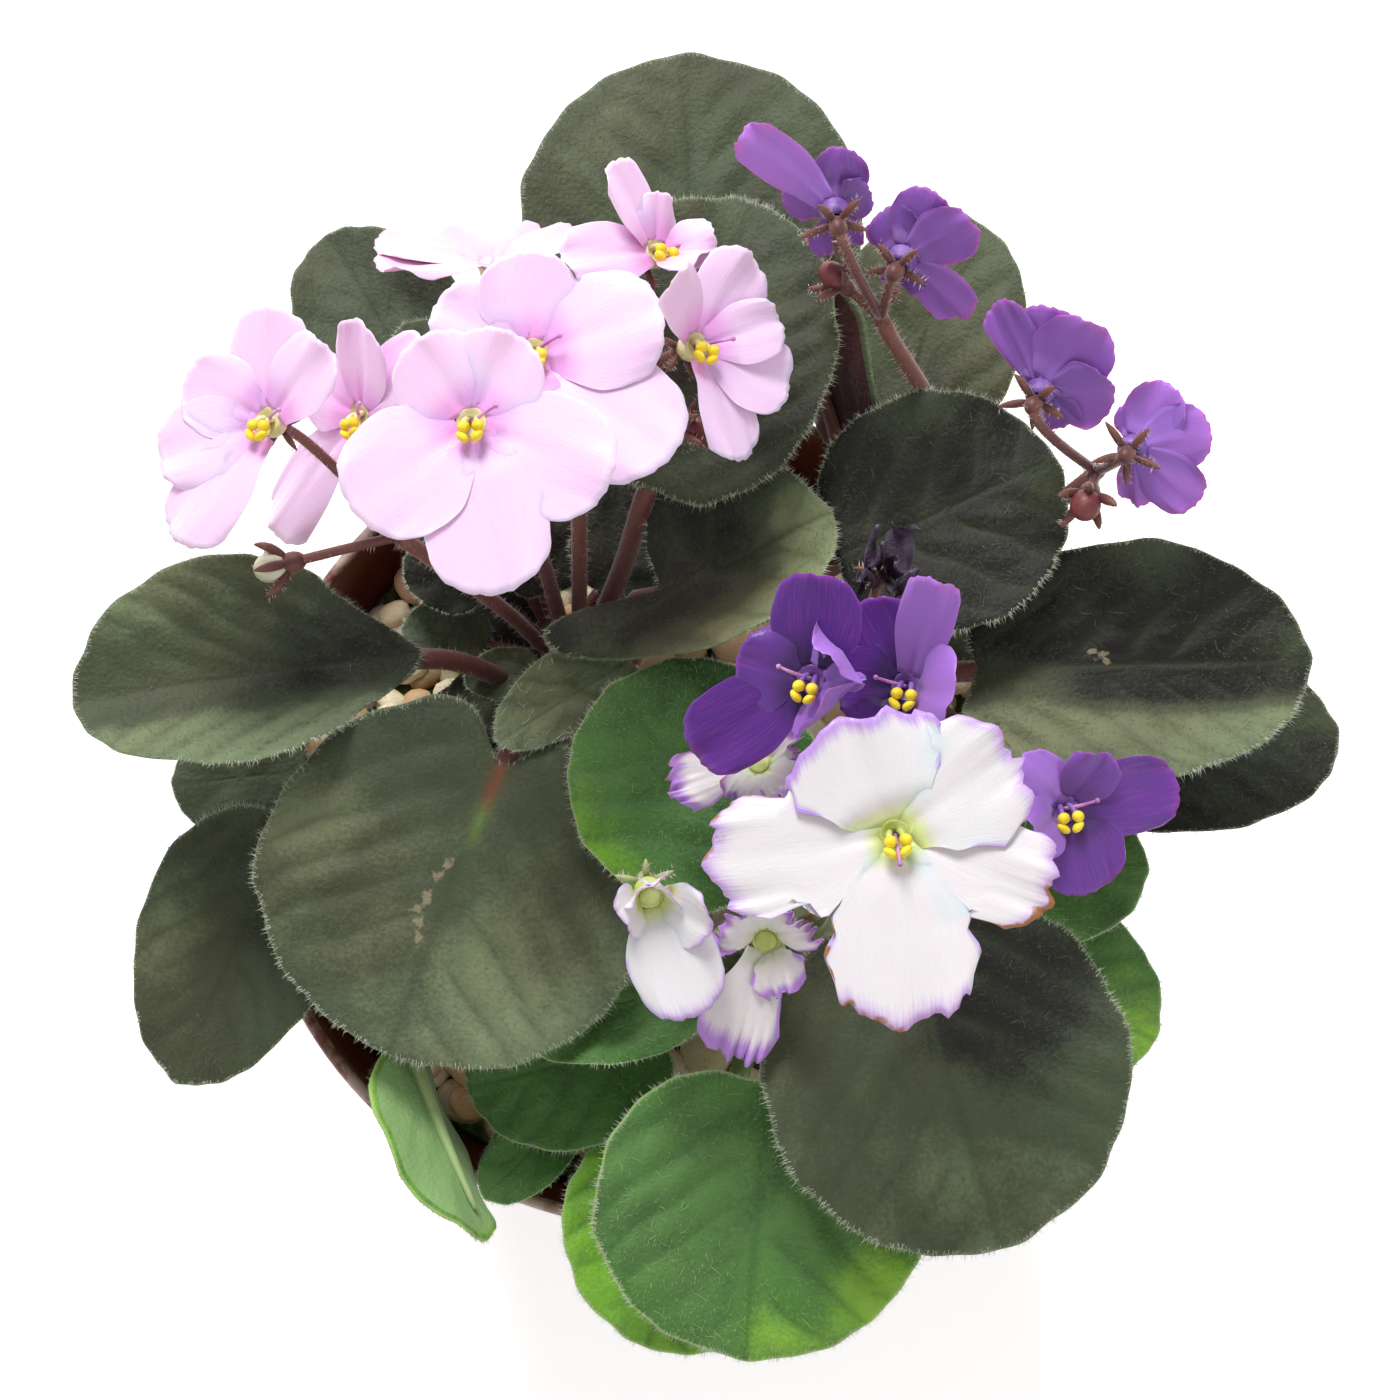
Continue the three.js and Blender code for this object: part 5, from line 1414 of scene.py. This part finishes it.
def make_gravel():
    """Rounded stones in two loose layers on a dark bed."""
    rng = np.random.default_rng(7)
    middle = 0.01
    shapes = [lathe_shape([(middle, BED_FOOT), (BED_RADIUS - 1, BED_FOOT),
                           (BED_RADIUS - 0.6, 95.0), (BED_RADIUS - 1.2, BED_TOP),
                           (middle, BED_TOP), (middle, BED_FOOT)], 96, BED)]
    placed = []
    for layer, (tries, top) in enumerate(((2600, STONE_TOP - 1.8), (5200, STONE_TOP))):
        for _ in range(tries):
            size = rng.uniform(*STONE_SIZES)
            angle, far = rng.uniform(0, TURN), (BED_RADIUS - 3.4) * math.sqrt(rng.uniform())
            x, y = far * math.cos(angle), far * math.sin(angle)
            room = [math.hypot(x - px, y - py) > 0.78 * (size + other)
                    for px, py, other, where in placed if where == layer]
            crowns = [math.hypot(x - cx, y - cy) > CROWN_RADIUS + 0.6 * size
                      for cx, cy in CROWNS.values()]
            if not all(room) or not all(crowns):
                continue
            placed.append((x, y, size, layer))
            turn = rng.uniform(0, math.pi)
            long, broad, high = size, size * rng.uniform(0.62, 0.85), rng.uniform(1.9, 2.5)
            z = top - high - rng.uniform(0, 0.8)
            axes = [(long * math.cos(turn), long * math.sin(turn), rng.uniform(-0.5, 0.5)),
                    (-broad * math.sin(turn), broad * math.cos(turn), rng.uniform(-0.4, 0.4)),
                    (0, 0, high)]
            # The third mark makes a stone darker and greener, more in the lower layer
            tone = (rng.uniform(0.1, 1.0), rng.uniform(), 0.5 * (layer == 0) + 0.3 * rng.uniform())
            shapes.append(blob((x, y, max(z, BED_TOP)), axes, 9, 14, STONE, tone, stone_bend(rng)))
    make_piece("gravel_stones", shapes, [STONES, MOSS], "gravel")


def finish_soil():
    """The soil is the CAD's own solid with a new material."""
    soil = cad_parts["growing_medium"]
    soil.data.materials.clear()
    soil.data.materials.append(SOIL)


# Studio, in metres
LAMP_AIM = np.array([0.0, 0.0, 0.1])
CAMERA_PLACE = (0.0053, -0.0752, 0.5438)
CAMERA_TILT = 12.0
CAMERA_LENS = 68.05


def make_floor():
    """A pale floor that fades into the white studio."""
    bpy.ops.mesh.primitive_circle_add(vertices=96, radius=6.0, fill_type="NGON",
                                      location=(0, 0, -0.0005))
    floor = bpy.context.object
    floor.name = "studio_floor"
    material, tree, shader = new_material(
        "pale_floor", Roughness=0.9, Specular_IOR_Level=0.1, Emission_Color=(1, 1, 1, 1),
        Emission_Strength=0.45)
    tone = mix_colours(tree, noise(tree, 2.0, 1.0), (0.93, 0.93, 0.93, 1), (0.95, 0.95, 0.95, 1))
    tree.links.new(tone, shader.inputs["Base Color"])
    floor.data.materials.append(material)


def add_light(name, place, size, power):
    """A round lamp that points at the middle of the pot."""
    light = bpy.data.lights.new(name, "AREA")
    light.shape = "DISK"
    light.size = size
    light.energy = power
    lamp = bpy.data.objects.new(name, light)
    bpy.context.scene.collection.objects.link(lamp)
    back = unit(vec(place) - LAMP_AIM)
    lamp.location = place
    lamp.rotation_euler = (math.acos(back[2]), 0, math.atan2(back[1], back[0]) + math.pi / 2)


def make_studio():
    """White light all round, a key light from behind and a weak one from the front."""
    world = bpy.data.worlds.new("studio")
    world.use_nodes = True
    background = world.node_tree.nodes["Background"].inputs
    background["Color"].default_value = (1.0, 1.0, 1.0, 1)
    background["Strength"].default_value = 0.55
    bpy.context.scene.world = world
    add_light("soft_key", (-0.25, 1.0, 1.1), 0.6, 21.0)
    add_light("soft_fill", (0.6, -0.9, 0.9), 1.0, 3.0)
    bpy.context.scene.view_settings.view_transform = "Standard"
    bpy.context.scene.view_settings.look = "None"


def make_camera():
    lens = bpy.data.cameras.new("above")
    lens.lens = CAMERA_LENS
    lens.sensor_width = 36.0
    camera = bpy.data.objects.new("above", lens)
    camera.location = CAMERA_PLACE
    camera.rotation_euler = (math.radians(CAMERA_TILT), 0, 0)
    bpy.context.scene.collection.objects.link(camera)
    bpy.context.scene.camera = camera


make_camera()
make_floor()
make_studio()
finish_soil()
make_pot()
make_gravel()
make_crowns()
make_leaves()
make_sprays()
make_blooms()
